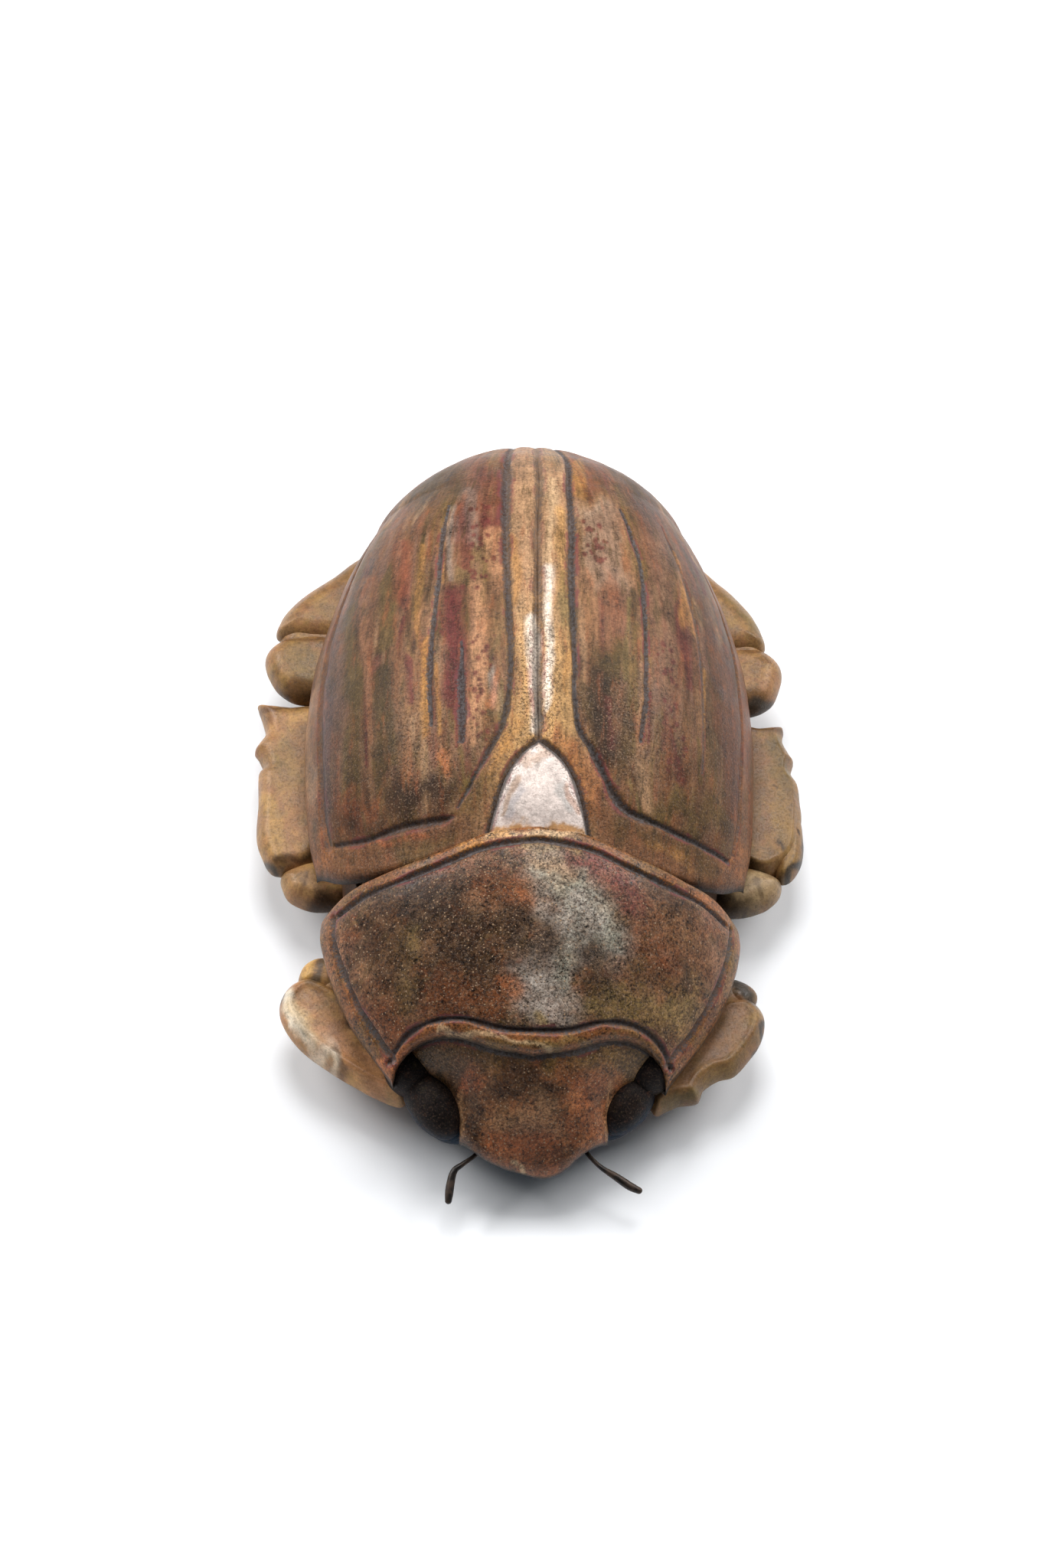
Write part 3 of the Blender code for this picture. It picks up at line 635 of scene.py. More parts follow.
RIGHT_BORDER = (
    (2.2, 53.6, 1), (4.4, 47, 1.1), (4.4, 38, 1.2), (4.6, 31, 1.3), (4.4, 22, 1.2), (4.8, 10, 1),
    (4.7, 5, 0.8), (5.2, -0.2, 1), (7, -3.2, 1.1), (8.8, -6.6, 1.2), (10.4, -9.4, 1.4),
    (12.4, -10.8, 1.6), (15.6, -11.2, 1.1), (20.6, -11.6, 0.9), (26.4, -11.7, 0.7))
LEFT_RIB = ((-12.2, 37, 0.5), (-13.1, 30.5, 0.9), (-13.7, 22, 0.8), (-14.4, 14, 1), (-14.6, 7, 1.1),
            (-14.3, 0.6, 0.6))
LEFT_GOUGE = ((-10.4, 12.5, 0.4), (-10.4, 8, 0.9), (-10.3, 3, 1.3), (-10.3, -2.2, 1.3))
RIGHT_RIB = (
    (11.6, 37, 0.5), (12.8, 33, 0.8), (14.1, 27, 0.8), (14.6, 19, 0.9), (14.6, 10, 1), (14.4, 4, 1),
    (13.8, -1, 0.7))
RIGHT_OUTER_RIB = (
    (17.6, 37, 0.5), (19.6, 30, 0.7), (21.4, 23, 0.8), (22.4, 15, 0.6), (22.8, 6, 0.6), (22.4, -2.4, 0.4))

GROOVE_DEPTH, RIB_DEPTH, SIDE_DEPTH = 0.55, 0.36, 0.30
NO_LINE = 3.0                       # this many half widths away, a point has no line near it
SHALLOW = 0.20                      # share of a line's depth that is left at the very tail
SIDE_INSET = {-1: 1.9, 1: 2.3}      # the side groove lies this far inside the rim
SIDE_WIDTH = {-1: 1.7, 1: 1.0}


def side_groove(side):
    """The line along the side rim, from the front corner to near the tail."""
    y = np.linspace(-10.4, 44.0, 16)
    width = SIDE_WIDTH[side] * step_between(44.0, 20.0, y) + 0.1
    return np.column_stack((side * (WingCases.half_width(y) - SIDE_INSET[side]), y, width))


def carve(base, normal, shell, lines):
    """Cuts lines into a grid. Returns the points, the distance in half widths and the dirt's strength.

    A line comes with its depth, the seed of its wander, the same on both sheets beside a joint, and how
    strongly dirt fills it. The valley's depth falls off as one minus the square of that distance,
    squared. A burr stands just outside it, and the surface rolls softly down towards the line from
    about a millimetre away. Valley and burr grow shallow at the very tail.
    """
    flat = base.reshape(-1, 3)
    nearest = np.full(len(flat), NO_LINE)
    ink, depth, hollow = np.zeros((3, len(flat)))
    for points, deep, seed, dirt in lines:
        path = through(points, 6 * len(points))
        wander = 0.16 * (cloud(path[:, 1], path[:, 0], 2.6, seed) - 0.5)
        route = on_shell(shell, path[:, 0] + wander, path[:, 1])
        swell = path[:, 2] * (0.82 + 0.5 * cloud(path[:, 1], path[:, 0], 1.8, seed + 40))
        half = 0.5 * np.maximum(swell, 0.12)
        near = (flat < route.max(axis=0) + 3.0) & (flat > route.min(axis=0) - 3.0)
        inside = np.flatnonzero(near.all(axis=1))
        spot = flat[inside]
        best, gap = np.full((2, len(inside)), 9.0)
        size = np.ones(len(inside))
        for a, b, wide_a, wide_b in zip(route[:-1], route[1:], half[:-1], half[1:]):
            step = b - a
            along = np.clip((spot - a) @ step / max(step @ step, 1e-9), 0.0, 1.0)
            away = np.linalg.norm(spot - a - along[:, None] * step, axis=1)
            wide = wide_a + (wide_b - wide_a) * along
            better = away / wide < best
            best, size, gap = (np.where(better, new, old)
                               for new, old in ((away / wide, best), (wide, size), (away, gap)))
        cut = deep * np.minimum(size / 0.5, 1.15) * np.clip(1.0 - (best / 1.15)**2, 0.0, 1.0)**2
        burr = 0.07 * np.exp(-((best - 1.55) / 0.32)**2)
        roll = 0.16 * deep * np.exp(-(gap / 1.1)**2)
        depth[inside] = np.maximum(depth[inside], cut - burr)
        hollow[inside] = np.maximum(hollow[inside], roll)
        ink[inside] = np.where(best < nearest[inside], dirt, ink[inside])
        nearest[inside] = np.minimum(nearest[inside], best)
    depth = depth * (SHALLOW + (1.0 - SHALLOW) * step_between(51.0, 43.0, flat[:, 1]))
    moved = flat - normal.reshape(-1, 3) * (depth + hollow)[:, None]
    return moved.reshape(base.shape), nearest.reshape(base.shape[:2]), ink.reshape(base.shape[:2])


def hand_made(base, normal, seed, coarse=0.22, fine=0.07):
    """The slow waves and small dents of a surface that was smoothed by hand."""
    x, y = base[..., 0], base[..., 1]
    waves = coarse * (cloud(x, y, 7.0, seed) - 0.5) + fine * (cloud(x, y, 1.4, seed + 7, octaves=3) - 0.5)
    return base + normal * waves[..., None]


def soft_edge(base, gap, radius):
    """Rounds a sheet down to its edge: a quarter circle of the radius over the last stretch."""
    short = np.clip(radius - gap, 0.0, radius)
    drop = radius - np.sqrt(radius**2 - short**2)
    return base - np.stack((0 * drop, 0 * drop, drop), axis=-1)


print("carved lines:", len(LEFT_BORDER), "places on the left border")

# %% [markdown]
# The wing cases cover the whole back. They part at the seam, so each side is its own sheet, from the
# seam or the scutellum's edge out to the rim, and the joint lies at the bottom of the carved seam. The
# colours are laid as strokes in the places where the real ones lie: warm brown panels with maroon, olive
# and rust streaks, a golden band beside the seam and an ochre band along the front. White strokes beside
# the seam are a painted highlight, and the panels are darkened towards the rim and the tail as painted
# shade.

# %% Strokes on the wing cases
LANE_REACH = 31.0      # lanes follow the outline, from number 0 on the seam to this one at the rim
SPOTS_PER_LANE = 34
LEFT_STROKES = (
    (MAUVE, -27.4, -4, -27.2, 26, 1.6, 0.7), (OLIVE, -25.6, 24, -25.3, 8, 1.5, 0.85),
    (MOSS, -26, 4, -26, -6, 1, 0.6), (OLIVE, -24.6, 12, -24.4, -4, 1, 0.7),
    (PINK_TAN, -23.9, 25, -22.9, 9, 0.6, 0.8), (PINK_TAN, -22.9, 9, -22.2, 0, 0.5, 0.8),
    (MAROON, -21.8, 11, -21, 5, 0.7, 0.5), (OLIVE, -21, 27, -20.6, 13, 1.2, 0.85),
    (DARK_OLIVE, -20.9, 8, -20.6, -4, 1.2, 0.85), (RED, -18.6, 31, -18.4, 20, 1.2, 0.45),
    (TAN, -18.6, 9, -18.2, -3, 1, 0.7), (DARK_BROWN, -17.4, 20, -17.3, 13, 0.45, 0.6),
    (OCHRE, -16.1, 30, -16.4, 14, 0.3, 0.5), (OCHRE, -15.7, 13, -15.4, 2, 0.7, 0.9),
    (OCHRE, -13.8, 8, -13.6, 0.6, 0.35, 0.9), (OCHRE, -12.7, 30, -13, 22, 0.3, 0.6),
    (MAROON, -11.6, 20, -12, 5, 2, 1), (MAUVE, -9.4, 48, -9, 30, 2.6, 0.45),
    (MAROON, -9, 42, -8, 31, 1.5, 0.5), (MAROON, -10.2, 3, -9.6, -1, 0.8, 0.8),
    (MAROON, -11.1, 2, -11.2, -2, 0.4, 0.8), (RED, -8, 50, -7.4, 40, 1.8, 0.35),
    (MAROON, -7.4, 34, -6, 31.6, 0.9, 0.75), (MAROON, -10.2, 34, -10.2, 25, 0.8, 0.75),
    (ASH, -11.6, 34, -11.6, 22, 0.6, 0.3), (DARK_OLIVE, -16, 50, -12.6, 40, 4, 0.8),
    (BROWN, -12, 44, -15, 34, 1.6, 0.4), (PEACH, -7.8, 22, -8.2, -1, 1.5, 0.6),
    (PEACH, -8.4, 12, -8.2, 3, 1.3, 0.4), (PEACH, -6.1, 31, -5.8, 20, 0.8, 0.6),
    (MAROON, -7, 44, -6.6, 34, 1.5, 0.5), (MAUVE, -9, 44, -8.4, 34, 1.6, 0.6),
    (ASH, -9.4, 37, -9, 30, 1.2, 0.2), (BROWN, -6.2, 22, -6.4, 12, 1.2, 0.55),
    (ASH, -6.6, 8, -5.6, 2, 0.6, 0.6), (ORANGE, -5.9, 6, -6.1, 2, 0.7, 0.6),
    (MOSS, -5.2, 4, -5.4, 0, 0.5, 0.6), (ORANGE, -13.2, -2.4, -12.4, -4.6, 1, 0.7),
    (UMBER, -17.6, -8.6, -12.8, -7.4, 2.8, 0.85), (UMBER, -16.4, -7.6, -13.8, -7, 1.5, 0.6),
    (DARK_BROWN, -21.6, -9.6, -18, -10, 1.6, 0.6), (RUST, -21.8, -6, -22.6, -7.6, 0.9, 0.6),
    (RUST, -24.9, -5.6, -24.6, -8.2, 2, 0.75), (DARK_BROWN, -24.9, -10, -23.2, -9.9, 1.1, 0.6),
    (OLIVE, -8.6, -7.4, -10, -9.2, 0.9, 0.7), (MOSS, -9.6, -8.6, -8.4, -7, 0.5, 0.7),
    (PURPLE_GREY, -28.6, -9.6, -29.1, 12, 1, 0.95), (PURPLE_GREY, -29.1, 12, -27.6, 26, 0.8, 0.55))
RIGHT_STROKES = (
    (RED, 7.2, 51, 8.6, 44, 2.6, 0.3), (OCHRE, 5.7, 48, 5.9, 40, 0.45, 0.7),
    (DARK_BROWN, 6.2, 42, 6.3, 36, 0.6, 0.4), (PALE_TAN, 8, 37, 9.6, 24, 2.8, 0.7),
    (ASH, 8.2, 36, 9.6, 24, 2.4, 0.3), (MAUVE, 9, 34, 10.4, 16, 2.6, 0.55),
    (DARK_BROWN, 14.2, 46, 14, 37, 3, 0.5), (PURPLE_GREY, 15.6, 42, 20.6, 28, 2.6, 0.5),
    (TAN, 7, 24, 7.6, 12, 1.6, 0.6), (RUST, 9.8, 22, 10.6, 14, 1.3, 0.3),
    (DARK_OLIVE, 12.9, 22.6, 12.9, 18, 0.8, 0.75), (MOSS, 11.8, 21, 11.9, 6, 0.4, 0.7),
    (OLIVE, 13.4, 17, 12.9, 3, 0.8, 0.75), (DARK_OLIVE, 9.4, 11, 7.6, 4, 2.8, 0.95),
    (DARK_OLIVE, 8.6, 2, 11.6, -6, 2.6, 0.6), (UMBER, 8, 8.4, 9.6, -3, 2.2, 0.9),
    (DARK_OLIVE, 11.8, 4, 11.6, -3, 1.3, 0.7), (MAROON, 9.4, 6, 9.8, -1, 0.7, 0.5),
    (MAUVE, 17, 34, 17.4, 5, 1.9, 0.6), (MAROON, 19.8, 23, 20.4, 8, 0.7, 0.75),
    (MAROON, 17.6, 1, 18.8, -4.2, 1.1, 0.8), (OCHRE, 18.8, 31, 21.2, 16, 0.5, 0.7),
    (OCHRE, 22.9, 12, 22.9, 2, 0.35, 0.8), (OLIVE, 24, 12, 24.2, -6, 1, 0.5),
    (OLD_RUST, 23.6, 22, 25.2, 4, 1, 0.7), (OLD_RUST, 26.6, 16, 27.4, -6, 1.9, 0.8),
    (DARK_BROWN, 28.4, 20, 28.8, -8, 0.9, 0.5), (PALE_TAN, 13.2, -4.6, 14.8, -7.6, 1.4, 0.9),
    (MOSS, 12.4, -8.6, 15.6, -9.4, 1, 0.7), (OLIVE, 17, -8, 24.4, -7.6, 2.6, 0.75),
    (DARK_OLIVE, 18.6, -8.2, 23, -9.4, 1.4, 0.5), (DARK_BROWN, 12, -3.6, 12.8, -8, 0.9, 0.5),
    (DARK_BROWN, 26, -8.6, 26.6, -10.2, 0.8, 0.4))
BAND_STROKES = (
    (MAUVE, -2.4, 52, -2.4, 42, 1.6, 0.35), (OLIVE, 2.4, 52, 2.6, 44, 1, 0.4),
    # CREAM at x 1.4 on this line and the SILVER_HIGHLIGHT strokes beside the seam are painted highlight.
    (CREAM, 1.4, 40, 1.4, 26, 0.9, 0.45), (OCHRE, -3.6, 30, -3.4, 18, 0.7, 0.6),
    (GOLD, 2.8, 34, 3, 22, 0.9, 0.6), (MOSS, 3.2, 24, 3.2, 15, 0.8, 0.7),
    (SILVER_HIGHLIGHT, -1, 15, -1, 0, 0.6, 0.95), (SILVER_HIGHLIGHT, 1, 25, 1, 2, 0.55, 0.85),
    (BAND_GOLD, 3.4, 14, 2.8, -2, 1.3, 0.8), (OCHRE, 3.6, 12, 3.4, 4, 0.6, 0.5),
    (BROWN, -3.4, 10, -3.6, 2, 0.7, 0.5), (BAND_GOLD, -2.8, 4, -3.6, -4, 1.4, 0.8),
    (OCHRE, -3.2, 1, -4.4, -5, 0.6, 0.5), (OCHRE, -4.2, -4, -6.8, -8, 1.4, 0.6),
    (OLIVE, -7.2, -9, -9.6, -12, 1.4, 0.6), (COPPER, 3.4, -4, 7.4, -9.5, 1.8, 0.75),
    (BROWN, 8.2, -11, 11, -13.4, 1.6, 0.8), (DARK_OLIVE, 12, -13.2, 24, -13.6, 1.4, 0.6),
    (OCHRE, 15, -14.8, 20, -14.6, 0.6, 0.3), (BROWN, -13, -13.8, -24, -13.6, 1.2, 0.4),
    (DARK_OLIVE, -12, -13.6, -19, -14.4, 0.8, 0.3), (RUST, -15, -13.1, -24, -13.2, 0.4, 0.75),
    (OLIVE, -11.5, -15.2, -18, -15.4, 1, 0.6), (COPPER, -27.4, -12.4, -28.6, -8, 1.2, 0.7),
    (COPPER, 27, -12.8, 28.4, -9, 1.4, 0.6), (PALE_TAN, -30.3, -2, -30.5, 16, 0.7, 0.6),
    (OLD_RUST, 29.8, -6, 30.4, 16, 0.9, 0.8))
SPOTS = (((-7.4, 36), (-8.6, 21), 2.4), ((-7.6, 13), (-8.2, -3.6), 2.2), ((7.6, 33), (8.2, 26), 1.8),
         ((17.6, 15), (18.4, -4.4), 2), ((-12.8, 18), (-11, 0), 1.6))


def inside_outline(x, y, outline):
    """1 inside a closed outline and 0 outside, by counting the sides crossed on the way out."""
    result = np.zeros(x.shape, bool)
    for (ax, ay), (bx, by) in zip(outline, np.roll(outline, -1, axis=0)):
        if ay != by:
            crossed = ((ay > y) != (by > y)) & (x < (bx - ax) * (y - ay) / (by - ay) + ax)
            result ^= crossed
    return result.astype(float)


def panel_outline(side):
    """The coloured panel of one wing case: its border line, front line and side groove."""
    if side < 0:
        runs = through(LEFT_BORDER, 60), through(LEFT_FRONT, 20), side_groove(side)
    else:
        runs = through(RIGHT_BORDER, 80), side_groove(side)
    return np.vstack(runs)[:, :2]


def random_streaks(side, seed, count=190):
    """Thin strokes at random places along the wing case, in lane coordinates that follow its outline."""
    rng = np.random.default_rng(seed + 500)
    tones = (OLIVE, DARK_OLIVE, MAROON, OLD_RUST, TAN, PALE_TAN, BROWN, DARK_BROWN, MAUVE, BROWN, OLIVE)
    streaks = []
    for _ in range(count):
        lane = side * rng.uniform(5.0, 29.5)
        start, length, sway = rng.uniform(-11.0, 48.0), rng.uniform(2.0, 15.0), rng.normal(0.0, 0.25)
        streaks.append((tones[rng.integers(len(tones))], lane, start, lane + sway, start + length,
                        rng.uniform(0.22, 0.62), rng.uniform(0.4, 0.9)))
    return streaks


def spot_marks(x, y, seed):
    """Maroon spots: random round dabs inside a few lanes."""
    rng = np.random.default_rng(seed)
    mask = np.zeros(x.shape)
    for start, end, spread in SPOTS:
        shares, offsets = rng.random(SPOTS_PER_LANE), rng.normal(0.0, 0.36, SPOTS_PER_LANE)
        for t, sideways, size in zip(shares, offsets, rng.uniform(0.14, 0.42, SPOTS_PER_LANE)):
            cx = start[0] + (end[0] - start[0]) * t + sideways * spread
            cy = start[1] + (end[1] - start[1]) * t
            away = np.hypot(x - cx, (y - cy) / 1.3)
            mask = np.maximum(mask, step_between(size * 1.35, size * 0.55, away))
    return mask


print("strokes:", len(LEFT_STROKES) + len(RIGHT_STROKES) + len(BAND_STROKES))

# %% [markdown]
# The real shells have an edge about as thick as a coin, rounded by wear. Each sheet's edge is rolled
# under in seven small steps, out and down in millimetres. The painted values run down the roll with it:
# the patina turns to slate as painted shade on the underside, the carved lines end, and the dirt and the
# shine drop to half.

# %% Rolled edges
EDGE_RADIUS = 0.8        # how softly a sheet comes down to its edge, before the roll
LIP_DROP = 2.4           # height of the lip that the roll is drawn for
LIP_ROLL = ((0.0, 0.35), (0.0, 0.9), (-0.02, 1.45), (-0.18, 1.9), (-0.55, 2.2), (-1.3, 2.35), (-3.2, 2.3))
SAME, HALF, FULL = ((share,) * len(LIP_ROLL) for share in (0.0, 0.5, 1.0))
# The patina's last tone, SLATE * 0.7, is painted shade on the rolled underside.
EDGE_FADE = {"patina": ((0.25, 0.75, 0.95, 1.0, 1.0, 1.0, 1.0), SLATE * 0.7), "line": (FULL, NO_LINE),
             "ink": (HALF, 0.0), "polish": (HALF, 0.0), "bubbly": (HALF, 0.0),
             "gritty": (SAME, 0.0), "lane": (SAME, 0.0)}


def shell_piece(name, skin, outward_share, lip, painted, finish):
    """Leans a carved sheet, rolls its edge under by the lip, darkens it as painted shade, makes the piece.
    """
    steps = [(out * lip / LIP_DROP, down * lip / LIP_DROP) for out, down in LIP_ROLL]
    points, faces, edge = rolled_shell(lean(skin), outward_share, steps)
    painted = {"polish": np.zeros(skin.shape[:2]), "bubbly": np.zeros(skin.shape[:2]), **painted}
    values = {key: with_edge(value, edge, *EDGE_FADE[key]) for key, value in painted.items()}
    return make_piece(name, to_model(points), faces, finish, values)


print("rings in a rolled edge:", len(LIP_ROLL))

# %% [markdown]
# Each wing case is drawn from the seam to the rim and from the front to the tail. Its lines are carved,
# and its colours are laid in two coats: the warm panel inside the border line, and the band round it.

# %% Wing cases
WING_ROWS, WING_COLUMNS, WING_SEED = 320, 236, 20
SEAM_LINE = (SEAM, GROOVE_DEPTH, 1, 0.75)
WING_LINES = {
    -1: ((SCUTELLUM_LEFT, GROOVE_DEPTH, 3, 0.85), (LEFT_BORDER, GROOVE_DEPTH, 4, 0.85),
         (LEFT_FRONT, GROOVE_DEPTH, 5, 0.70), (LEFT_RIB, RIB_DEPTH, 6, 0.95),
         (LEFT_GOUGE, RIB_DEPTH, 7, 0.95)),
    1: ((SCUTELLUM_RIGHT, GROOVE_DEPTH, 8, 0.90), (RIGHT_BORDER, GROOVE_DEPTH, 9, 0.95),
        (RIGHT_RIB, RIB_DEPTH, 10, 0.95), (RIGHT_OUTER_RIB, 0.5 * RIB_DEPTH, 11, 0.55))}
DARK_BLOTCH = {-1: (-15.0, -7.0), 1: (10.0, 0.0)}      # middle of the grainy dark patch on each side


def inner_edge(side, y):
    """Where a wing case starts: at the seam, and in front of its end at the scutellum's edge."""
    corner = SCUTELLUM_LEFT if side < 0 else SCUTELLUM_RIGHT
    path = np.vstack((through(corner, 60), through(SEAM, 60)))
    return np.interp(y, path[:, 1], path[:, 0])


def crown_rows(count):
    """Shares of the length from front to tail, evenly stepped along the curve of the crown."""
    v = np.linspace(0.0, 1.0, 2000)
    y = WingCases.front(np.array(0.0)) * (1 - v) + TAIL_END * v
    z = WingCases.height(np.array(0.0), y)
    run = np.concatenate(([0.0], np.cumsum(np.hypot(np.diff(y), np.diff(z)))))
    even = np.interp(np.linspace(0.0, run[-1], count), run, v)
    return even * (0.82 + 0.18 * np.linspace(0.0, 1.0, count))


def wing_panel(side, s, x, y):
    """Panel colour: clouds, random streaks, placed strokes, spots and painted shade towards rim and tail.
    """
    seed, lane = WING_SEED + 5 + 20 * side, LANE_REACH * s
    warm_side = step_between(18.0, 8.0, abs(x)) * (0.45 if side < 0 else 0.2)
    ground = blend(BROWN * 0.5 + TAN * 0.5, PALE_TAN * 0.82, warm_side)
    layers = ((DARK_BROWN, 3.0, 0.45), (MOSS, 2.4, 0.40), (OLD_RUST, 2.0, 0.40), (MAUVE, 2.6, 0.45))
    ground = clouded(ground, lane, y, layers, seed + 40, stretch=6.0)
    ground = brush(ground, lane, y, random_streaks(side, seed), seed + 9, stretch=5.0, broken=1.4,
                   fade=(1.35, 0.4))
    placed = LEFT_STROKES if side < 0 else RIGHT_STROKES
    ground = brush(ground, x, y, placed, seed, stretch=4.0, broken=1.6, fade=(1.4, 0.3))
    ground = blend(ground, MAROON, 0.8 * spot_marks(x, y, seed))
    # Painted shade: the panel is darkened towards the rim and towards the top of the tail.
    rim_painted_shade = 0.38 * step_between(14.0, 27.0, side * x)
    tail_painted_shade = 0.30 * step_between(33.0, 46.0, y) * step_between(2.0, 9.0, side * x)
    return ground * (1.0 - np.maximum(rim_painted_shade, tail_painted_shade))[..., None]


def wing_band(x, y):
    """Golden band by the seam, with painted highlight strokes, and brown band along the rim and the front.
    """
    low = step_between(26.0, 4.0, y) * step_between(9.0, 4.0, abs(x))
    middle = blend(BAND_TAN, BAND_GOLD, low)
    ground = blend(middle, BROWN, step_between(3.0, 12.0, abs(x)))
    return brush(ground, x, y, BAND_STROKES, WING_SEED, stretch=2.4, broken=2.0, fade=(1.7, 0.1))


def wing_case(side):
    """One wing case: s runs from the inner edge to the rim as a sine, y from the front to the tail."""
    v = crown_rows(WING_ROWS)[:, None]
    u = np.sin(np.linspace(0.0, math.pi / 2, WING_COLUMNS))[None, :]
    s_in = np.zeros_like(v)
    for _ in range(8):
        y_in = WingCases.front(s_in) + (TAIL_END - WingCases.front(s_in)) * v
        s_in = inner_edge(side, y_in) / np.maximum(WingCases.half_width(y_in), 0.4)
    s = s_in + (side - s_in) * u
    y = WingCases.front(s) + (TAIL_END - WingCases.front(s)) * v
    x = WingCases.half_width(y) * s
    base = np.stack((x, y, WingCases.height(s, y)), axis=-1)
    normal = normals_of(base) * side
    lines = (SEAM_LINE, (side_groove(side), SIDE_DEPTH, 2, 0.40), *WING_LINES[side])
    skin, line, ink = carve(hand_made(base, normal, WING_SEED), normal, WingCases, lines)
    skin = soft_edge(skin, y - WingCases.front(s), EDGE_RADIUS)

    panel = inside_outline(x, y, panel_outline(side))
    blotch_x, blotch_y = DARK_BLOTCH[side]
    near_blotch = np.hypot(x - blotch_x, (y - blotch_y) / 1.4)
    near_seam = step_between(5.0, 2.0, abs(x)) * step_between(26.0, 6.0, y)
    grainy = np.maximum(0.75 * near_seam, 0.9 * step_between(11.0, 2.0, near_blotch))
    rubbed = step_between(5.0, 1.0, abs(x)) * step_between(38.0, 16.0, y) * step_between(-9.0, -2.0, y)
    painted = {"patina": blend(wing_band(x, y), wing_panel(side, s, x, y), panel), "line": line,
               "ink": ink * (1.0 - 0.25 * (abs(x) < 1.2) * step_between(2.0, 16.0, y)),
               "gritty": np.maximum(grainy, 0.14 + 0.50 * step_between(24.0, -8.0, y)),
               "polish": 0.6 * rubbed, "bubbly": 0.8 * step_between(8.0, 2.0, near_blotch),
               "lane": np.stack((LANE_REACH * s, y, 0 * y), axis=-1)}
    name = "wing_case_left" if side < 0 else "wing_case_right"
    return shell_piece(name, skin, (side, side, 0.0, 0.0), WingCases.lip, painted, WING_FINISH)


wing_cases = [wing_case(side) for side in (-1, 1)]

# %% [markdown]
# Between the wing cases lies the scutellum, a small triangle. It is the brightest place of the figure:
# the patina was rubbed through to a pale metal, and its nearly white colour is also a painted highlight
# of the overhead light, with an ochre band along its front.

# %% Scutellum
SCUTELLUM_STROKES = (
    (OCHRE, -6, -15, 6, -15, 0.9, 0.95), (MAUVE, -4.6, -13.2, -3, -13.4, 0.5, 0.4),
    (ASH, -3.8, -12.2, -2.6, -9.4, 0.9, 0.5), (GREY_GREEN, 3.6, -11.6, 2.8, -9, 0.7, 0.4),
    (PALE_TAN, -1.6, -5.6, 0.4, -4, 0.9, 0.6), (PINK_TAN, 4.8, -12, 4, -9, 0.5, 0.6),
    (PALE_TAN, -5, -12.6, -3.2, -7.4, 0.4, 0.7))


def scutellum(rows=110, columns=110):
    """The triangle between the two carved edges, slightly domed."""
    v = np.linspace(0.0, 1.0, rows)[:, None]
    t = (0.5 - 0.5 * np.cos(np.linspace(0.0, math.pi, columns)))[None, :]
    s = 0.0 * v * t
    for _ in range(6):
        y = WingCases.front(s) + (SCUTELLUM_LEFT[-1][1] - WingCases.front(s)) * v
        left, right = inner_edge(-1, y), inner_edge(1, y)
        x = left + (right - left) * t
        s = x / WingCases.half_width(y)
    base = np.stack((x, y, WingCases.height(s, y)), axis=-1)
    normal = normals_of(base)
    dome = 0.35 * (1.0 - (2.0 * t - 1.0)**2) * step_between(0.0, 0.35, v) * (1.0 - v)
    skin = hand_made(base, normal, WING_SEED) + normal * (dome + 0 * x)[..., None]
    skin = skin + normal * (0.10 * (cloud(x, y, 1.2, 91, octaves=3) - 0.5))[..., None]
    lines = (SEAM_LINE, WING_LINES[-1][0], WING_LINES[1][0])
    skin, line, ink = carve(skin, normal, WingCases, lines)
    skin = soft_edge(skin, y - WingCases.front(s), EDGE_RADIUS)
    # The pearl base is the rubbed pale metal with a painted highlight of the overhead light on it.
    painted = {"patina": brush(PEARL_AND_HIGHLIGHT + 0.0 * base, x, y, SCUTELLUM_STROKES, 93), "line": line, "ink": ink,
               "gritty": step_between(NO_LINE, 1.3, line) * 0.5 + 0.15,
               "polish": 0.5 * step_between(-14.4, -12.6, y)}
    return shell_piece("scutellum", skin, (1.0, 0.0, 0.0, 0.0), WingCases.lip, painted, SCUTELLUM_FINISH)


scutellum_piece = scutellum()
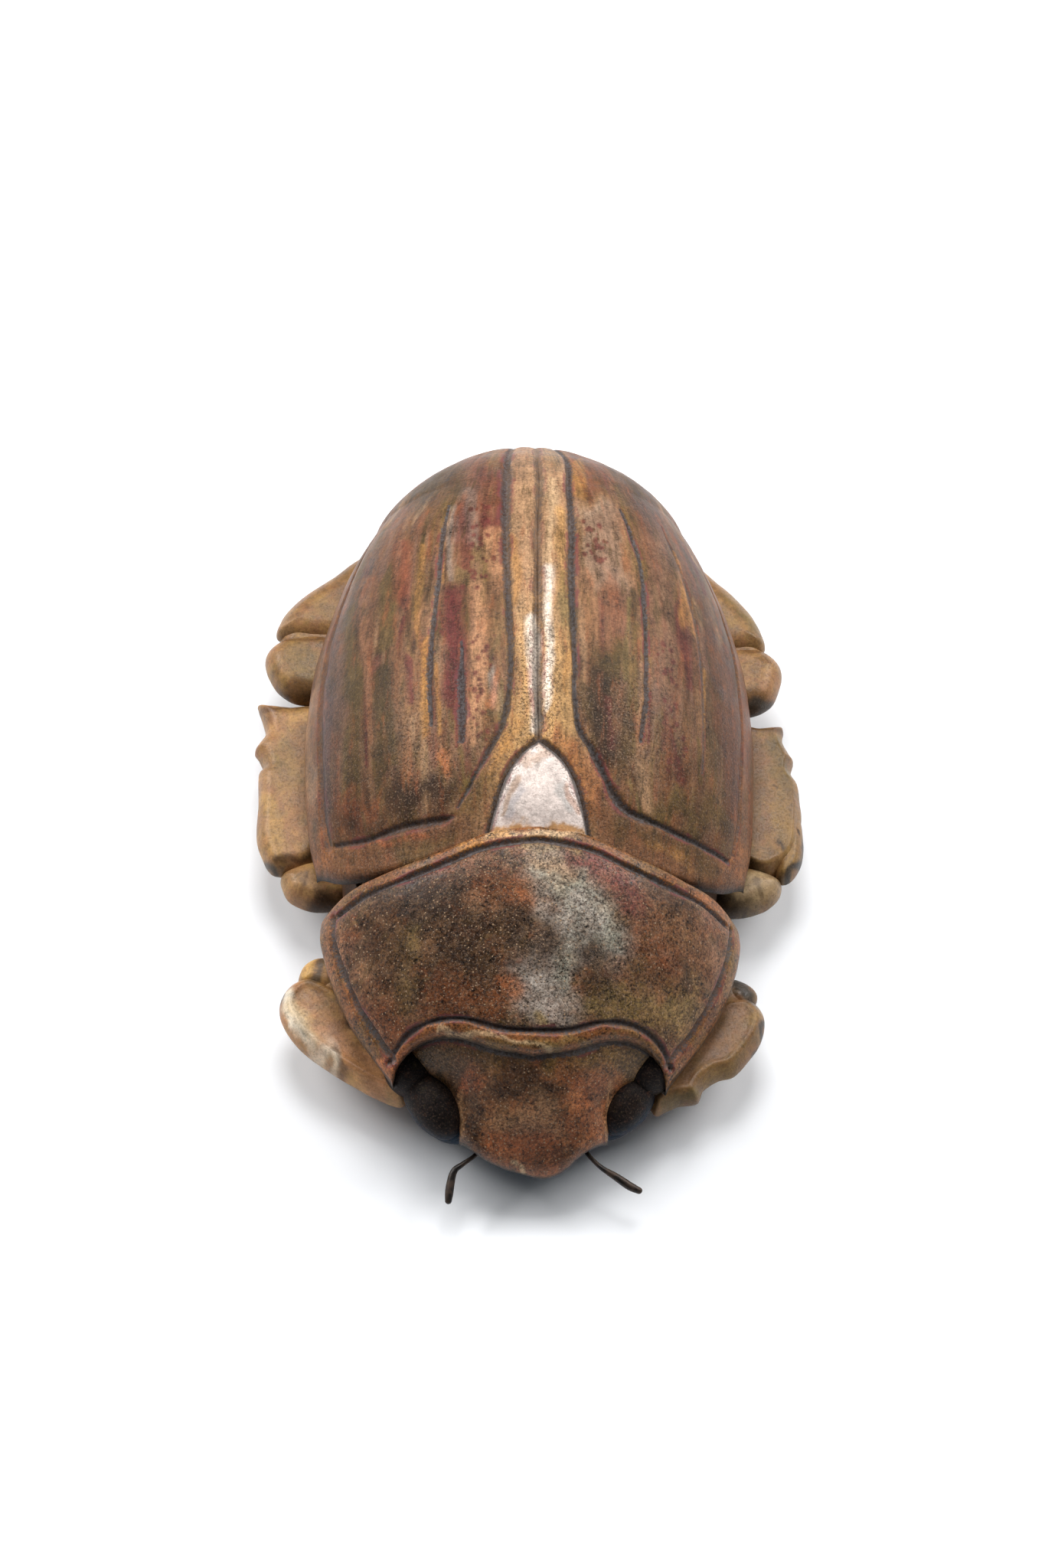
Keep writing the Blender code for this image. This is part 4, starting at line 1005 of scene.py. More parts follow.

# %% [markdown]
# The thorax shield is the wide plate between the wing cases and the head. One carved line follows its
# rim all the way round. Its patina is the most broken of all: rust, olive and pale grey clouds over
# a dark brown ground, with tiny light bubbles on the left half. The pale grey cloud in the middle is
# partly a painted reflection of the overhead light, and cream strokes on the rim are painted highlights.

# %% Thorax shield
SHIELD_STROKES = (
    (BROWN, 15.5, -23, 22.5, -27.5, 3.4, 0.7), (OLD_RUST, 13.5, -28.5, 16.5, -30, 1.8, 0.5),
    # ASH and GREY_GREEN in the middle: pale patina, partly a painted reflection of the overhead light.
    (ASH, 1.2, -21.4, 8, -28.6, 4, 0.65), (ASH, 4, -28, 1.6, -35.6, 3.6, 0.7),
    (OLD_RUST, -6.4, -23, -3, -23.2, 2.2, 0.9), (ORANGE, -2.6, -23.8, -1.4, -25, 1.2, 0.5),
    (MOSS, -7.4, -17.7, 8, -17.9, 0.6, 0.6), (MAROON, 4, -19.6, 8, -20.2, 1.6, 0.9),
    (MAROON, 11, -21.6, 12.4, -23.6, 2.2, 0.85), (GREY_GREEN, 0.6, -20.8, 4.4, -22.4, 1.9, 0.85),
    (ASH, 5.2, -28.4, 6.4, -30.6, 1.9, 0.8), (PALE_TAN, -0.4, -19.8, 3.4, -21.2, 1.4, 0.6),
    (GREY_GREEN, 5.2, -24.6, 8.2, -27.6, 2.4, 0.85), (ASH, 5.4, -24.8, 7, -27, 1.5, 0.8),
    (GREY_GREEN, 4.6, -30.6, 3.4, -33.4, 1.6, 0.8), (ASH, 0.2, -34.2, 1, -35, 1.2, 0.6),
    (UMBER, -15.8, -22.4, -13, -26.8, 3.8, 1), (UMBER, -17.4, -23.2, -12.8, -24.4, 2.6, 0.9),
    (UMBER, -12.4, -30.2, -8.8, -33.2, 3.4, 1), (UMBER, -8.4, -27, -2.6, -27.4, 2.3, 0.95),
    (UMBER, 1.2, -29.4, 2, -31, 1.9, 0.85), (UMBER, 7, -31, 9.2, -35.4, 2.3, 0.85),
    (TAN, -13.4, -28.4, -15.4, -29.4, 1.5, 0.45), (PINK_TAN, -8.4, -24.8, -6, -25.6, 1, 0.35),
    (MOSS, -17, -27.6, -17.6, -34.4, 1.8, 0.6), (MOSS, 9.6, -36.6, 18, -35, 2.3, 0.65),
    (MOSS, 21.2, -30.8, 20, -34.2, 1.8, 0.5), (TAN, -19.8, -30, -22.2, -28.8, 1.6, 0.3),
    (DARK_BROWN, -20, -24, -18, -34, 2.2, 0.7), (OLD_RUST, -18, -37.2, -22.2, -33, 1.8, 0.9),
    (OLD_RUST, -12.4, -35, -5.8, -37, 1.9, 0.8), (ORANGE, -4, -34.6, -2.6, -35.2, 0.9, 0.6),
    (UMBER, 20, -29.9, 20.5, -30.5, 0.8, 0.9), (DARK_BROWN, 15, -21, 18.4, -22, 1.2, 0.9),
    (PINK_TAN, -25.4, -27, -25.4, -21.6, 0.7, 0.5), (ASH, 0, -37, 4.2, -38, 1.3, 0.5),
    (MOSS, 0.8, -38.8, 1.4, -39.2, 0.6, 0.8), (RED, -24, -20.4, -12, -19.4, 0.5, 0.5),
    (MAUVE, 22.5, -21.5, 25.2, -28, 0.9, 0.4))
RIM_STROKES = (
    # CREAM on the back rim here and on the front lip in the last stroke: painted highlights.
    (CREAM, -6.6, -15.8, 4.4, -15.7, 0.8, 0.65), (OCHRE, -10, -16.4, -4, -15.8, 0.6, 0.6),
    (BROWN, 4, -16, 14, -17.2, 0.6, 0.6), (PINK_TAN, -27.4, -20, -27, -30, 0.6, 0.25),
    (OLIVE, 14, -17.6, 24, -18.4, 0.5, 0.4), (BROWN, 26.6, -21, 24, -34, 0.6, 0.4),
    (BROWN, -27.8, -19.4, -26.8, -24, 0.9, 0.7), (OLIVE, 27.6, -20, 26.8, -25, 0.9, 0.6),
    (ORANGE, -20.6, -40.2, -16, -40.4, 0.9, 0.6), (MOSS, -6, -41, 8, -41.2, 0.5, 0.5),
    (CREAM, -12, -39.2, 2, -41.4, 0.3, 0.5))


SHIELD_FRONT_HALF = ((0.0, -39.9), (4.5, -39.6), (9.0, -38.2), (12.5, -37.7), (15.2, -37.9),
                     (17.2, -38.7), (18.9, -40.3))      # the right half of the line's front run
SHIELD_INKS = (0.95, 0.90, 0.80, 0.75)                  # how full of dirt: back, front, left, right


def shield_lines():
    """Back, front, left and right runs of the carved line inside the shield's rim: places and widths."""
    across = np.linspace(-26.2, 26.2, 15)
    back = np.column_stack((across, ThoraxShield.back(across / 28.0) - 2.3, np.full(15, 1.05)))
    mirrored = [(-x, y) for x, y in SHIELD_FRONT_HALF[:0:-1]]
    front = [(x, y, 0.95) for x, y in (*mirrored, *SHIELD_FRONT_HALF)]
    along = np.linspace(-20.9, -40.2, 9)
    inset = ThoraxShield.half_width(along) - 1.4
    left, right = (np.column_stack((side * inset, along, np.full(9, 1.35))) for side in (-1, 1))
    return back, np.array(front), left, right


def thorax_shield(rows=200, columns=360):
    """The shield: s runs as a sine from rim to rim, y from the front edge to the back edge."""
    v = np.linspace(0.0, 1.0, rows)[:, None]
    s = np.sin(np.linspace(-math.pi / 2, math.pi / 2, columns))[None, :]
    front, back = ThoraxShield.front(s), ThoraxShield.back(s)
    y = front + (back - front) * v
    x = ThoraxShield.half_width(y) * s
    base = np.stack((x, y, ThoraxShield.height(s, y)), axis=-1)
    normal = normals_of(base)
    runs = shield_lines()
    lines = [(run, GROOVE_DEPTH, 110 + k, ink) for k, (run, ink) in enumerate(zip(runs, SHIELD_INKS))]
    skin, line, ink = carve(hand_made(base, normal, 101, fine=0.10), normal, ThoraxShield, lines)
    skin = soft_edge(soft_edge(skin, y - front, 0.7), back - y, EDGE_RADIUS)
    loop = np.vstack((runs[0], runs[3], runs[1][::-1], runs[2][::-1]))[:, :2]
    panel = inside_outline(x, y, loop)
    rim = clouded(COPPER * 0.64 + 0.0 * base, x, y, ((BROWN, 2.2, 0.6), (OLIVE, 3.0, 0.5)), 131)
    rim = brush(rim, x, y, RIM_STROKES, 103, broken=2.0)
    shadowed = step_between(9.0, -4.0, x) * step_between(-30.0, -20.0, x)
    ground = blend(BROWN * 0.80, DARK_BROWN * 0.62, shadowed)
    ground = clouded(ground, x, y, ((UMBER, 3.4, 0.60), (OLIVE, 3.2, 0.50), (RUST, 2.2, 0.42),
                                    (MAUVE, 2.6, 0.35)), 133)
    ground = brush(ground, x, y, SHIELD_STROKES, 105, broken=2.2, fade=(1.8, 0.1))
    ground = clouded(ground, x, y, ((UMBER, 1.1, 0.35), (PALE_TAN, 0.9, 0.14)), 153)
    painted = {"patina": blend(rim, ground, panel), "line": line, "ink": ink,
               "gritty": 0.35 + 0.5 * panel * step_between(26.0, 6.0, abs(x)),
               "bubbly": 0.42 + 0.58 * step_between(8.0, -6.0, x) * panel}
    return shell_piece("thorax_shield", skin, (1.0,) * 4, ThoraxShield.lip, painted, SHIELD_FINISH)


shield = thorax_shield()

# %% [markdown]
# The head plate slopes down from under the shield to a rounded front lip. The eyes are black beads low on
# both sides, and under it the face is closed by the cheeks and the mouth.

# %% Head plate
SIGHT_SLOPE = 0.58       # millimetres back for one down, along the line of sight of the photo
SHIELD_FRONT_HALF_WIDTH = 20.5
HEAD_BROWN = tone(168, 114, 82)
HEAD_STROKES = (
    (DARK_OLIVE, -15, -39.6, -2, -42.4, 1.6, 0.9), (OLIVE, 2, -42.6, 16, -39.6, 1.5, 0.9),
    (DARK_BROWN, -9.4, -43, -7.2, -48.6, 2.4, 1), (DARK_BROWN, -5, -44.6, 2.4, -45.4, 1.7, 1),
    (RUST, -8, -42.8, -6.6, -43.6, 0.9, 0.8), (RUST, 4, -43, 7.4, -43.8, 1, 0.6),
    (OLD_RUST, 8.6, -44.2, 6.4, -47.8, 1.8, 0.7), (ORANGE, 6.8, -45.2, 6.2, -46.8, 1.2, 0.6),
    (PALE_TAN, 2, -47.6, -3.4, -48.2, 1.9, 0.65), (MAUVE, -2.4, -49.2, 2.4, -49.4, 1.2, 0.5),
    (RUST, -5.6, -49.6, 3.4, -50.9, 1.2, 0.8), (DARK_BROWN, -7.4, -49.8, -6.6, -50.3, 0.9, 0.8),
    (DARK_BROWN, 1.6, -51.7, 2.4, -51.9, 0.7, 0.4), (UMBER, 3.2, -51, 6, -50.4, 0.7, 0.6),
    (DARK_BROWN, -8.2, -46.2, -7.8, -46.8, 0.5, 0.8), (CREAM, -2.3, -51.7, -1.7, -51.8, 0.25, 0.9),
    (CREAM, -1.1, -52, -0.8, -52.1, 0.2, 0.9), (PALE_TAN, -9, -43.4, -9, -48, 0.35, 0.6),
    (PALE_TAN, 10.5, -43.4, 10.3, -48, 0.35, 0.6))


def head_plate(rows=150, columns=220):
    """The plate, drawn as the shield is; painted shade lies where the shield's front edge hides it."""
    v = np.linspace(0.0, 1.0, rows)[:, None]
    s = np.sin(np.linspace(-math.pi / 2, math.pi / 2, columns))[None, :]
    front = HeadPlate.front(s)
    y = front + (HeadPlate.back(s) - front) * v
    x = HeadPlate.centre_x + HeadPlate.half_width(y) * s
    base = np.stack((x, y, HeadPlate.height(s, y)), axis=-1)
    normal = normals_of(base)
    skin = hand_made(base, normal, 121, fine=0.10)
    skin = soft_edge(skin, y - front, EDGE_RADIUS)
    colour = clouded(HEAD_BROWN + 0.0 * base, x, y, ((DARK_BROWN, 1.9, 0.45), (RUST, 1.7, 0.50),
                                                     (OLIVE, 2.6, 0.30)), 137)
    colour = brush(colour, x, y, HEAD_STROKES, 123, broken=2.0, fade=(1.6, 0.2))
    colour = clouded(colour, x, y, ((UMBER, 0.9, 0.32), (PALE_TAN, 0.8, 0.14)), 157)
    above = np.clip(x / SHIELD_FRONT_HALF_WIDTH, -1.0, 1.0)
    edge_y = ThoraxShield.front(above)
    edge_z = ThoraxShield.height(above, edge_y) - ThoraxShield.lip
    hidden = edge_y + SIGHT_SLOPE * (edge_z - skin[..., 2])
    even = np.ones_like(x)
    # The line value paints a dark band of painted shade along the shield's front edge.
    painted = {"patina": colour, "line": np.clip((hidden - y) / 0.6, 0.0, NO_LINE), "ink": 0.95 * even,
               "bubbly": 0.75 * even, "gritty": 0.75 * even}
    return shell_piece("head_plate", skin, (1.0, 1.0, 0.0, 1.0), HeadPlate.lip, painted, HEAD_FINISH)


head = head_plate()

# %% [markdown]
# The legs, the face and the belly are closed forms: rounded pads over an outline in plan, and
# ellipsoids. Each is one grid that runs from its top point round its outline down to its lowest point,
# so that the mesh closes by itself once the points that fall together there are merged.

# %% Closed forms
def pad(outline, centre, edge, rise, drop, shoulder=3.2, ridge=0.0):
    """A rounded slab over a plan outline: edge height, rise above it and drop below it.

    The top is a quarter round as wide as the shoulder and flat inside it, the underside a chamfer. A
    ridge is a low bead that follows the outline just inside the shoulder.
    """
    rim = through(outline, 14 * len(outline), closed=True)
    angle = np.radians(np.linspace(90.0, -90.0, 53))[:, None]
    xy = np.array(centre) + (rim - np.array(centre)) * np.cos(angle)[..., None]
    gap = np.full(xy.shape[:2], 99.0)
    for a, b in zip(rim, np.roll(rim, -1, axis=0)):
        gap = np.minimum(gap, to_segment(xy[..., 0], xy[..., 1], a, b))
    top = rise * np.sqrt(1.0 - (1.0 - np.minimum(gap / shoulder, 1.0))**2)
    top = top + ridge * np.exp(-((gap - 0.55 * shoulder) / (0.24 * shoulder))**2)
    under = drop * np.minimum(gap / 5.0, 1.0)**0.85
    z = edge + np.where(angle > 0.0, top, -under)
    return np.concatenate((xy, z[..., None]), axis=-1)


def pebble(centre, half, turn=0.0, around=72, down=41):
    """An ellipsoid, turned by degrees about the vertical."""
    polar = np.linspace(0.0, math.pi, down)[:, None]
    turned = np.linspace(0.0, 2 * math.pi, around, endpoint=False)[None, :]
    c, s = math.cos(math.radians(turn)), math.sin(math.radians(turn))
    x, y = half[0] * np.sin(polar) * np.cos(turned), half[1] * np.sin(polar) * np.sin(turned)
    z = half[2] * np.cos(polar) + 0.0 * turned
    return np.stack((x * c - y * s, x * s + y * c, z), axis=-1) + np.array(centre)


def worn(grid, seed, size=0.10):
    """Small hand-made dents on a closed form."""
    normal = normals_of(grid, around=True)
    middle = grid.mean(axis=(0, 1))
    normal = normal * np.sign(((grid - middle) * normal).sum())
    x, y, z = np.moveaxis(grid, -1, 0)
    dents = cloud(x + z, y - z, 1.8, seed, octaves=3) + cloud(x - z, y + z, 4.0, seed + 1) - 1.0
    fade = np.sin(np.linspace(0.0, math.pi, len(grid)))[:, None]**0.5
    return grid + normal * (size * dents * fade)[..., None]


PLAIN_GRIT = 0.3


def closed_piece(name, grids, colours, finish, node="scarab_body"):
    """One piece from closed grids, each with its colour at every point."""
    points = np.vstack([grid.reshape(-1, 3) for grid in grids])
    painted = np.vstack([colour.reshape(-1, 3) for colour in colours])
    starts = np.cumsum([0] + [grid.shape[0] * grid.shape[1] for grid in grids])
    faces = [grid_faces(*grid.shape[:2], first=start, around=True) for grid, start in zip(grids, starts)]
    nothing = np.zeros(len(points))
    values = {"patina": painted, "line": nothing + NO_LINE, "ink": nothing, "polish": nothing,
              "bubbly": nothing, "gritty": nothing + PLAIN_GRIT}
    return make_piece(name, to_model(points), faces, finish, values, node)


print("closed forms ready")

# %% [markdown]
# The legs are folded flat beside the body. Each is two or three pads that overlap, so that the creases
# between them are real, and the front and middle ones have a thigh that reaches under the belly. They
# are lighter than the back, an ochre tan with dark lines in the creases. Each leg's colour is scaled by its
# own factor, painted light and shade for how it lies to the light, and its low parts turn slate as painted
# shade. Dark strokes beside the shield and under the front corners of the wing cases are painted shade,
# and silver and cream strokes on the front left shin are a painted highlight.

# %% Legs
LEG_FINISH = patina_finish("leg patina", grit=0.5, gloss=0.40, sheen=0.32, tint=(0.80, 0.69, 0.49))
LEGS = {
    "leg_front_left": (
        (((-27.6, -20.6), (-29.8, -21), (-31.2, -22.6), (-31, -25), (-26, -26), (-24.5, -22)),
         (-28, -23.6), 8, 2.6, 4, 2),
        (((-29, -23.8), (-32.2, -24.4), (-33.9, -27.2), (-33.4, -30.4), (-30.8, -34.2), (-25.4, -38.4),
          (-20.4, -41.4), (-17, -42.4), (-16.2, -39), (-19.5, -34), (-23.5, -27.5)),
         (-26.6, -31.8), 7.6, 3, 4, 2.6, 0.55)),
    "leg_middle_left": (
        (((-29, 18.8), (-34, 19.3), (-37.9, 19.7), (-38.2, 19.2), (-37.5, 16.9), (-37.2, 14.8),
          (-38.5, 12.4), (-37.8, 10.9), (-37.3, 9.4), (-37.9, 8.3), (-37.8, 4), (-37.9, -1), (-37.2, -4),
          (-35, -7.4), (-29, -6), (-26, 2), (-26.4, 12)),
         (-32, 6), 7.8, 3.2, 5.2, 2.4),
        (((-34, -7.2), (-34, -9.6), (-32.6, -11.6), (-29, -12.8), (-24, -11.6), (-24.5, -7.5),
          (-29.5, -5.4)),
         (-29, -9), 7.4, 3.3, 4.6, 2.6)),
    "leg_hind_left": (
        (((-23, 43.2), (-28.3, 39.6), (-32.8, 36), (-35.4, 32.4), (-35.4, 29.6), (-29, 28.4), (-22, 29.5),
          (-18, 37)),
         (-28, 34.6), 9.6, 3.6, 6.4, 3.4),
        (((-34.4, 29.8), (-37.2, 27.4), (-37, 24.2), (-34.8, 20.8), (-31.2, 19.4), (-24, 20.6),
          (-23.5, 27.5), (-29, 30.4)),
         (-31, 25.2), 9, 3.6, 5.8, 3),
        (((-34.4, 32.4), (-35.4, 29.2), (-34.6, 25.6), (-28, 24.6), (-23, 29), (-27, 34)),
         (-29.6, 29.4), 9, 3.1, 5, 3)),
    "leg_front_right": (
        (((26.8, -24.4), (28.8, -25), (29.6, -26.4), (28.4, -28), (24, -27.4), (23.6, -24.6)),
         (27, -26.2), 8, 2.3, 4, 1.8),
        (((28.6, -26.6), (30.6, -27.4), (31.8, -29.6), (31.2, -32.8), (29.2, -36), (27.4, -38),
          (25.2, -38.7), (23.2, -40.2), (22.4, -42), (20, -42.4), (18.6, -43), (16.6, -43.6), (16, -39.5),
          (20.5, -33), (25, -27.8)),
         (25, -33.4), 7.6, 2.8, 4, 2.4, 0.4)),
    "leg_middle_right": (
        (((29, 15.4), (32.4, 15.8), (35.2, 16), (35.7, 15.6), (35.5, 13.8), (36.4, 11.6), (36.9, 10.6),
          (36.5, 8.6), (37.4, 6.8), (37.6, 4.2), (37.7, 1), (36.6, -5), (32, -8), (27, -4), (26.4, 6)),
         (31.6, 4.2), 7.8, 3.1, 5.2, 2.3, 0.35),
        (((35, 2.4), (37.4, 1.8), (37.9, -2.2), (37.4, -5.8), (35.6, -8.4), (33.8, -7.8), (34.2, -3)),
         (35.9, -3.2), 7.6, 2.7, 4.2, 1.6),
        (((34.2, -8), (34.4, -10.4), (32.2, -12.6), (28, -13.8), (24, -12.4), (24.5, -8.5), (29.5, -6.4)),
         (29.4, -10), 7.4, 3.3, 4.6, 2.6)),
    "leg_hind_right": (
        (((22, 42.6), (27.2, 38.6), (30.8, 34.6), (32.8, 30.8), (33, 27.6), (27.5, 26.2), (21.5, 27.5),
          (17.5, 36)),
         (26.8, 32.6), 9.6, 3.6, 6.4, 3.4),
        (((32.8, 27.8), (35.4, 25.2), (35.2, 22), (33.6, 18.8), (29.8, 17.4), (23, 18.6), (23, 25.5),
          (28.5, 28.2)),
         (30, 22.8), 9, 3.5, 5.8, 3),
        (((32, 30.2), (33.2, 27.4), (32.6, 23.6), (27, 22.6), (22, 27), (26, 32)),
         (28.4, 27.2), 9, 3, 5, 3))}
THIGHS = {
    "leg_front_left": ((-22, -25, 7.4), (9, 3.8, 3.6), -8),
    "leg_middle_left": ((-23, -4, 7.2), (9.5, 3.8, 3.8), 30),
    "leg_front_right": ((22, -27, 7.4), (9, 3.8, 3.6), 8),
    "leg_middle_right": ((23, -5, 7.2), (9.5, 3.8, 3.8), -30)}
LEG_STROKES = (
    (LEG_BROWN, -27, 41, -24, 30, 2.2, 0.5), (PALE_TAN, -33.6, 34.6, -34.4, 30.8, 1.2, 0.6),
    (LEG_BROWN, -36.8, 29, -28, 28.4, 0.45, 0.8), (MOSS, -33.4, 26.6, -31.6, 23, 2, 0.5),
    (LEG_BROWN, -33, 20.6, -29, 20, 1.3, 0.8), (SLATE, -36.2, 20.6, -34.2, 19.4, 0.7, 0.9),
    (DARK_BROWN, -37.6, 18.4, -30, 18, 0.5, 0.6), (LEG_BROWN, -31.6, 14, -30.8, 0, 1.6, 0.6),
    (MOSS, -34.4, 10, -33, 6, 1.8, 0.4), (PALE_TAN, -36.6, 12, -36.4, -2, 0.8, 0.55),
    (LEG_YELLOW, -36.2, 4, -34.4, -4.6, 1.1, 0.5), (DARK_BROWN, -34.6, -6.4, -29, -4.8, 0.5, 0.8),
    (SLATE, -36.6, -5.4, -34.6, -8, 0.35, 0.9), (PALE_TAN, -32.4, -8.4, -29.4, -12, 2.2, 0.35),
    # UMBER at the end of this line is painted shade under the left wing case's front corner.
    (DARK_BROWN, -30.6, -8, -31.2, -11.4, 0.5, 0.5), (UMBER, -29, -14, -24, -12.6, 2.2, 0.9),
    (LEG_YELLOW, -29.6, -21.4, -30.8, -23.4, 0.7, 0.7), (SLATE, -28.6, -22.4, -30, -24.8, 0.8, 0.8),
    # SILVER_HIGHLIGHT here and CREAM at the start of the next line: painted highlight on the shin's ridge.
    (SILVER_HIGHLIGHT, -33, -26.6, -31.5, -31.2, 0.9, 1), (SILVER_HIGHLIGHT, -31.5, -31.2, -26, -36.8, 1, 1),
    (CREAM, -32, -28.6, -28.6, -33.6, 1.1, 0.6), (LEG_BROWN, -30, -26, -22, -35, 1.5, 0.4),
    (PINK_TAN, -28, -33, -20, -39.8, 2, 0.7), (DARK_BROWN, -26.6, -36, -24.6, -38, 0.6, 0.6),
    # Both UMBER strokes on this line are painted shade along the leg's edge beside the shield.
    (UMBER, -26.8, -24.4, -24.2, -31, 0.9, 0.95), (UMBER, -24.2, -31, -17.6, -40.2, 1, 0.95),
    (SLATE, -33.6, -26, -33.9, -28.4, 0.25, 0.9), (MOSS, 28.4, 35.4, 31.4, 30.8, 1.4, 0.7),
    (LEG_BROWN, 33, 27.2, 26, 26.2, 0.45, 0.8), (PALE_TAN, 30, 33.6, 27.4, 37, 0.9, 0.5),
    (LEG_BROWN, 31.8, 19.2, 27.4, 18.4, 1.3, 0.8), (SLATE, 34.6, 19.2, 31.4, 17.6, 0.8, 0.9),
    (DARK_BROWN, 35.4, 15, 28.6, 14.6, 0.5, 0.6), (MOSS, 34.4, 13, 35.2, 6, 1.4, 0.55),
    (LEG_BROWN, 31.2, 12, 30.4, -2, 1.8, 0.65), (LEG_YELLOW, 34.8, 4, 35.4, -3.6, 1.3, 0.5),
    (PALE_TAN, 36, 2.4, 36.8, -2.4, 0.8, 0.7), (UMBER, 36.8, -0.8, 37, -1.4, 0.35, 0.9),
    (UMBER, 34.4, -3.6, 34.9, -4.2, 0.35, 0.9), (UMBER, 33.4, 5, 33.8, 4.6, 0.35, 0.7),
    (LEG_YELLOW, 36.6, -5, 35.6, -7, 0.7, 0.6), (SLATE, 37.9, -2, 37.3, -6.2, 0.35, 0.9),
    (SLATE, 37.3, -6.2, 35.2, -8.8, 0.35, 0.9), (DARK_BROWN, 34.4, -8.4, 29.6, -6.2, 0.5, 0.8),
    (CREAM, 32.4, -9.6, 28.8, -12.6, 2.4, 0.75), (DARK_BROWN, 31.2, -9.6, 31.6, -12, 0.5, 0.5),
    # UMBER at the start of this line is painted shade under the right wing case's front corner.
    (UMBER, 29, -14.6, 24, -13.4, 2.2, 0.9), (SLATE, 27, -24.2, 29.6, -26.6, 1.4, 0.9),
    (LEG_YELLOW, 30.6, -28.4, 30.2, -31.6, 0.7, 0.5), (SLATE, 31.9, -29.4, 31.2, -33, 0.35, 0.9),
    (SLATE, 31.2, -33, 28.4, -37.2, 0.35, 0.9), (LEG_BROWN, 24, -31, 19, -39.6, 2.4, 0.75),
    (PINK_TAN, 28, -30, 24.6, -36, 1.4, 0.5), (LEG_YELLOW, 26, -38.2, 23.4, -40, 0.8, 0.7),
    # The last stroke of this line and the next one are painted shade along the edge beside the shield.
    (MOSS, 21.8, -41.6, 18, -43, 0.9, 0.7), (UMBER, 25.6, -27.4, 23.2, -32.4, 0.8, 0.9),
    (UMBER, 23.2, -32.4, 17, -40.6, 0.9, 0.95))


LEG_CLOUDS = ((LEG_BROWN, 2.4, 0.6), (MOSS, 2.0, 0.35), (PINK_TAN, 3.0, 0.6), (LEG_YELLOW, 1.5, 0.3))
# Painted light and shade: each leg's colour is multiplied by its own brightness.
LEG_PAINTED_LIGHT_SHADE = {"leg_front_left": 1.08, "leg_middle_left": 0.92, "leg_hind_left": 0.73,
             "leg_front_right": 0.54, "leg_middle_right": 0.60, "leg_hind_right": 0.75}


def leg(name, seed):
    """A leg: its pads and, where it has one, the thigh that joins it to the belly."""
    grids = [pad(*shape) for shape in LEGS[name]]
    if name in THIGHS:
        grids.append(pebble(*THIGHS[name]))
    grids = [worn(grid, seed + k) for k, grid in enumerate(grids)]
    colours = []
    for grid in grids:
        x, y, z = np.moveaxis(grid, -1, 0)
        colour = clouded(LEG_OCHRE + 0.0 * grid, x, y, LEG_CLOUDS, seed + 31)
        # The factor per leg is painted light and shade; the slate blend below 6.6 mm is painted shade.
        colour = brush(colour, x, y, LEG_STROKES, seed, broken=1.4, fade=(1.4, 0.4)) * LEG_PAINTED_LIGHT_SHADE[name]
        colours.append(blend(colour, SLATE * 0.8, 0.75 * step_between(6.6, 3.6, z)))
    return closed_piece(name, grids, colours, LEG_FINISH)


legs = [leg(name, 140 + 10 * k) for k, name in enumerate(LEGS)]

# %% [markdown]
# The eyes are black beads low on both sides of the head. The cheeks and the mouth, which close the face
# between and under them, lie in deep shadow, so they are plain ellipsoids painted blue-black as painted
# shade, and the eyes turn the same blue low down as painted shade.

# %% Eyes and face
EYE_FINISH = patina_finish("eye glaze", grit=1.2, gloss=0.50, sheen=0.07, tint=(0.7, 0.7, 0.7))
EYES = {
    "eye_left": ((-13, -42.6, 10.3), (3.5, 6, 4.1), 27),
    "eye_right": ((13.1, -42, 9.7), (3.4, 5.7, 3.9), -28)}
CHEEKS = (((-11.2, -42.2, 6.6), (3.9, 5.4, 3.4), 32), ((11.4, -41.8, 6.2), (3.6, 5, 3.2), -32),
          ((-15.8, -38.6, 11.6), (3.8, 4, 4.6), 20), ((15.8, -38.4, 11.6), (3.8, 4, 4.6), -20))
MOUTH = ((0.7, -45.0, 6.4), (8.8, 4.4, 4.2), 0.0)
EYE_BLACK = tone(38, 32, 31)
# CHEEK_SHADE_BLUE is painted shade under the head.
CHEEK_SHADE_BLUE = tone(46, 62, 78)


def bead(name, shape, seed):
    """An eye: a worn black bead, browner where dirt has rubbed off, blue below as painted shade."""
    grid = worn(pebble(*shape, around=96, down=64), seed, 0.16)
    x, y, z = np.moveaxis(grid, -1, 0)
    colour = clouded(EYE_BLACK + 0.0 * grid, x, y, ((UMBER, 1.6, 0.35), (SOOT, 2.2, 0.5)), seed)
    # Painted shade: the eye turns bluish below a height of 12 mm.
    colour = blend(colour, CHEEK_SHADE_BLUE, 0.85 * step_between(12.0, 8.6, z))
    return closed_piece(name, [grid], [colour], EYE_FINISH)


eyes = [bead(name, shape, 210 + k) for k, (name, shape) in enumerate(EYES.items())]
face_grids = [worn(pebble(*shape), 220 + k) for k, shape in enumerate((*CHEEKS, MOUTH))]
# CHEEK_SHADE_BLUE on the lower cheeks and the mouth is painted shade; the upper cheeks take the eye's
# black.
face_tones = (CHEEK_SHADE_BLUE, CHEEK_SHADE_BLUE, EYE_BLACK, EYE_BLACK, CHEEK_SHADE_BLUE)
face_colours = [paint + 0.0 * grid for paint, grid in zip(face_tones, face_grids)]
face = closed_piece("face", face_grids, face_colours, EYE_FINISH)

# %% [markdown]
# Nobody sees the underside. It is flat, so that the figure lies still, and plain, with a few shallow
# lines across it for the segments of the belly, in the same patina, duller, and painted darker as shade,
# since its sides show only in the shadow under the shells.

